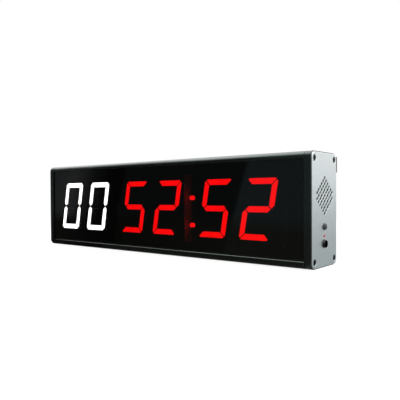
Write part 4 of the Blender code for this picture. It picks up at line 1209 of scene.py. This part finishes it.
def makeWorld():
    world = bpy.data.worlds.new("white_surround")
    world.use_nodes = True
    scene.world = world
    tree = world.node_tree
    rays = addNode(tree, "ShaderNodeLightPath")
    seen = {0: rays.outputs["Is Camera Ray"], 1: rays.outputs["Is Glossy Ray"]}
    first = addNode(tree, "ShaderNodeMath", {"operation": "MAXIMUM"}, seen)
    through = {0: first, 1: rays.outputs["Is Transmission Ray"]}
    white = addNode(tree, "ShaderNodeMath", {"operation": "MAXIMUM"}, through)
    strength = {"To Min": studio["surround"], "To Max": 1.0}
    level = addNode(tree, "ShaderNodeMapRange", strength, {"Value": white})
    ground = tree.nodes["Background"]
    ground.inputs["Color"].default_value = (1, 1, 1, 1)
    tree.links.new(level.outputs["Result"], ground.inputs["Strength"])


def makeFloor():
    made, tree = stageTree("studio_paper_white")
    rays = addNode(tree, "ShaderNodeLightPath")
    paper = addNode(tree, "ShaderNodeBsdfDiffuse", {"Color": hexColour(studio["paper"])})
    seenPaper = addNode(tree, "ShaderNodeBsdfDiffuse", {"Color": hexColour(studio["floorPaper"])})
    glow = addNode(tree, "ShaderNodeEmission", {"Strength": studio["floorGlow"]})
    near = addNode(tree, "ShaderNodeAddShader", links={0: seenPaper, 1: glow})
    place = addNode(tree, "ShaderNodeTexCoord").outputs["Object"]
    far = addNode(tree, "ShaderNodeVectorMath", {"operation": "LENGTH"}, {0: place})
    reach = {"From Min": studio["fadeFrom"], "From Max": studio["fadeTo"]}
    smooth = {"interpolation_type": "SMOOTHSTEP", **reach}
    fade = addNode(tree, "ShaderNodeMapRange", smooth, {"Value": far.outputs["Value"]})
    white = addNode(tree, "ShaderNodeEmission")
    seen = addNode(tree, "ShaderNodeMixShader", links={0: fade, 1: near, 2: white})
    gloss = addNode(tree, "ShaderNodeEmission", {"Color": hexColour(studio["floorInGloss"])})
    toCamera = {0: rays.outputs["Is Camera Ray"], 1: paper, 2: seen}
    first = addNode(tree, "ShaderNodeMixShader", links=toCamera)
    toGloss = {0: rays.outputs["Is Glossy Ray"], 1: first, 2: gloss}
    second = addNode(tree, "ShaderNodeMixShader", links=toGloss)
    addNode(tree, "ShaderNodeOutputMaterial", links={"Surface": second})
    half = studio["floorSize"] / 2 * 1000
    corners = [(-half, -half, 0), (half, -half, 0), (half, half, 0), (-half, half, 0)]
    stageSheet("studio_floor", corners, made)


makeWorld()
makeFloor()

# An upright card stands before the window, a sheet lies between them and a wing closes the left side. All
# three carry
# painted reflections: their tones are set zone by zone for what the window, the front lips and the left end
# show in their gloss. The card's tones run from left to right, one row for its head and one for its foot,
# and lean so that a painted reflection edge slants across the window
cardSetup = {
    "gap": 45.0,  # mm in front of the case
    "left": -420.0,
    "right": 215.0,
    "foot": 0.5,
    "top": 175.0,
    "lean": 0.33,  # to the left per mm above leanFrom
    "leanFrom": 60.0,
    # Painted reflections: the tones that the window shows of the card, head row and foot row
    "headReflectionTones": (
        (-246, "#6a6d6e"),
        (-205, "#76797a"),
        (-165, "#464949"),
        (-132, "#232424"),
        (-104, "#1f2020"),
        (-102, "#393d3c"),
        (78, "#3f4342"),
        (80, "#657376"),
    ),
    "footReflectionTones": (
        (-246, "#3e3f38"),
        (-205, "#373734"),
        (-165, "#313130"),
        (-132, "#2a2a28"),
        (-98, "#20201f"),
        (-96, "#34352e"),
        (78, "#4c4e46"),
        (80, "#5a5e54"),
    ),
    "footHeight": 26.0,
    "headHeight": 42.0,
    # Painted reflections for the foot of the window and the lower lip
    "sheetPaintedReflection": (
        (-246, "#3a3b37"),
        (-216, "#2e2f2b"),
        (-204, "#1d1d1b"),
        (-140, "#262625"),
        (-92, "#20201e"),
        (-78, "#41423a"),
        (60, "#4d4e47"),
        (178, "#5b5c57"),
    ),
    "sheetHeight": 0.3,
    "sheetRight": 178.0,
    "sheetBack": 10.0,
    # A painted reflection: the even dark that the edges of the left end show
    "wingPaintedReflection": "#161616",
    "wingBack": 300.0,
}


def toneRow(tree, along, row):
    # Tones of one row, where along is a place in m from left to right
    low, high = [(caseToWorld @ Vector((cardSetup[side], 0, 0))).x for side in ("left", "right")]
    across = addNode(tree, "ShaderNodeMapRange", {"From Min": low, "From Max": high}, {"Value": along})
    ramp = addNode(tree, "ShaderNodeValToRGB", links={0: across})
    stops = ramp.color_ramp.elements
    while len(stops) < len(cardSetup[row]):
        stops.new(0.5)  # its place is set below
    for stop, (x, code) in zip(stops, cardSetup[row]):
        stop.position = (x - cardSetup["left"]) / (cardSetup["right"] - cardSetup["left"])
        stop.color = hexColour(code)
    return ramp


def makeCard(name, corners, tones):
    made, tree = stageTree(f"{name}_dark")
    place = addNode(tree, "ShaderNodeTexCoord").outputs["Object"]
    axes = addNode(tree, "ShaderNodeSeparateXYZ", links={0: place})
    tone = addNode(tree, "ShaderNodeEmission")
    tones(tree, axes, tone.inputs["Color"])
    addNode(tree, "ShaderNodeOutputMaterial", links={"Surface": tone})
    card = stageSheet(name, corners, made)
    for rays in ("camera", "diffuse", "shadow"):
        setattr(card, f"visible_{rays}", False)


# Painted reflection: the card's tones set what the window shows of it
def cardPaintedReflection(tree, axes, colour):
    lean = cardSetup["lean"]
    leaning = {"operation": "MULTIPLY_ADD", 1: -lean, 2: lean * cardSetup["leanFrom"] / 1000}
    sway = addNode(tree, "ShaderNodeMath", leaning, {0: axes.outputs["Z"]})
    shifted = addNode(tree, "ShaderNodeMath", {"operation": "ADD"}, {0: axes.outputs["X"], 1: sway})
    band = {"From Min": cardSetup["footHeight"] / 1000, "From Max": cardSetup["headHeight"] / 1000}
    rise = addNode(tree, "ShaderNodeMapRange", band, {"Value": axes.outputs["Z"]})
    rows = {0: rise, 6: toneRow(tree, shifted, "footReflectionTones"), 7: toneRow(tree, shifted, "headReflectionTones")}
    blend = addNode(tree, "ShaderNodeMix", {"data_type": "RGBA"}, rows)
    tree.links.new(blend.outputs[2], colour)


# Painted reflection: the sheet's tones set what the foot of the window and the lower lip show
def sheetPaintedReflection(tree, axes, colour):
    tree.links.new(toneRow(tree, axes.outputs["X"], "sheetPaintedReflection").outputs["Color"], colour)


# Painted reflection: one even dark tone for the edges of the left end
def wingPaintedReflection(tree, axes, colour):
    colour.default_value = hexColour(cardSetup["wingPaintedReflection"])


left, right, front = cardSetup["left"], cardSetup["right"], -cardSetup["gap"]
foot, top, behind = cardSetup["foot"], cardSetup["top"], cardSetup["wingBack"]
level, reach, back = cardSetup["sheetHeight"], cardSetup["sheetRight"], cardSetup["sheetBack"]
upright = [(left, front, foot), (right, front, foot), (right, front, top), (left, front, top)]
lying = [(left, front, level), (reach, front, level), (reach, back, level), (left, back, level)]
wing = [(left, behind, foot), (left, front, foot), (left, front, top), (left, behind, top)]
makeCard("studio_card", upright, cardPaintedReflection)
makeCard("studio_sheet", lying, sheetPaintedReflection)
makeCard("studio_wing", wing, wingPaintedReflection)

lamps = {
    "key": {"place": (0.9, -0.9, 1.6), "size": (1.4, 1.4), "power": 14},  # m, W
    "overhead": {"place": (-1.35, 0.42, 1.25), "size": (1.3, 1.1), "power": 8},
    "canopy": {"place": (-0.6, 0.12, 1.5), "size": (1.6, 0.8), "power": 11},
    "rear": {"place": (0.9, 1.3, 1.5), "size": (1.4, 1.4), "power": 7},
}
lampTarget = Vector((0, 0, 0.05))  # the middle of the timer
for name, setup in lamps.items():
    light = bpy.data.lights.new("softbox_" + name, "AREA")
    light.shape = "RECTANGLE"
    light.size, light.size_y = setup["size"]
    light.energy = setup["power"]
    lamp = bpy.data.objects.new("softbox_" + name, light)
    lamp.location = setup["place"]
    aim = lampTarget - lamp.location
    lamp.rotation_euler = aim.to_track_quat("-Z", "Y").to_euler()
    scene.collection.objects.link(lamp)
print("studio lit")

scene.view_settings.view_transform = "Standard"

low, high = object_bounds()
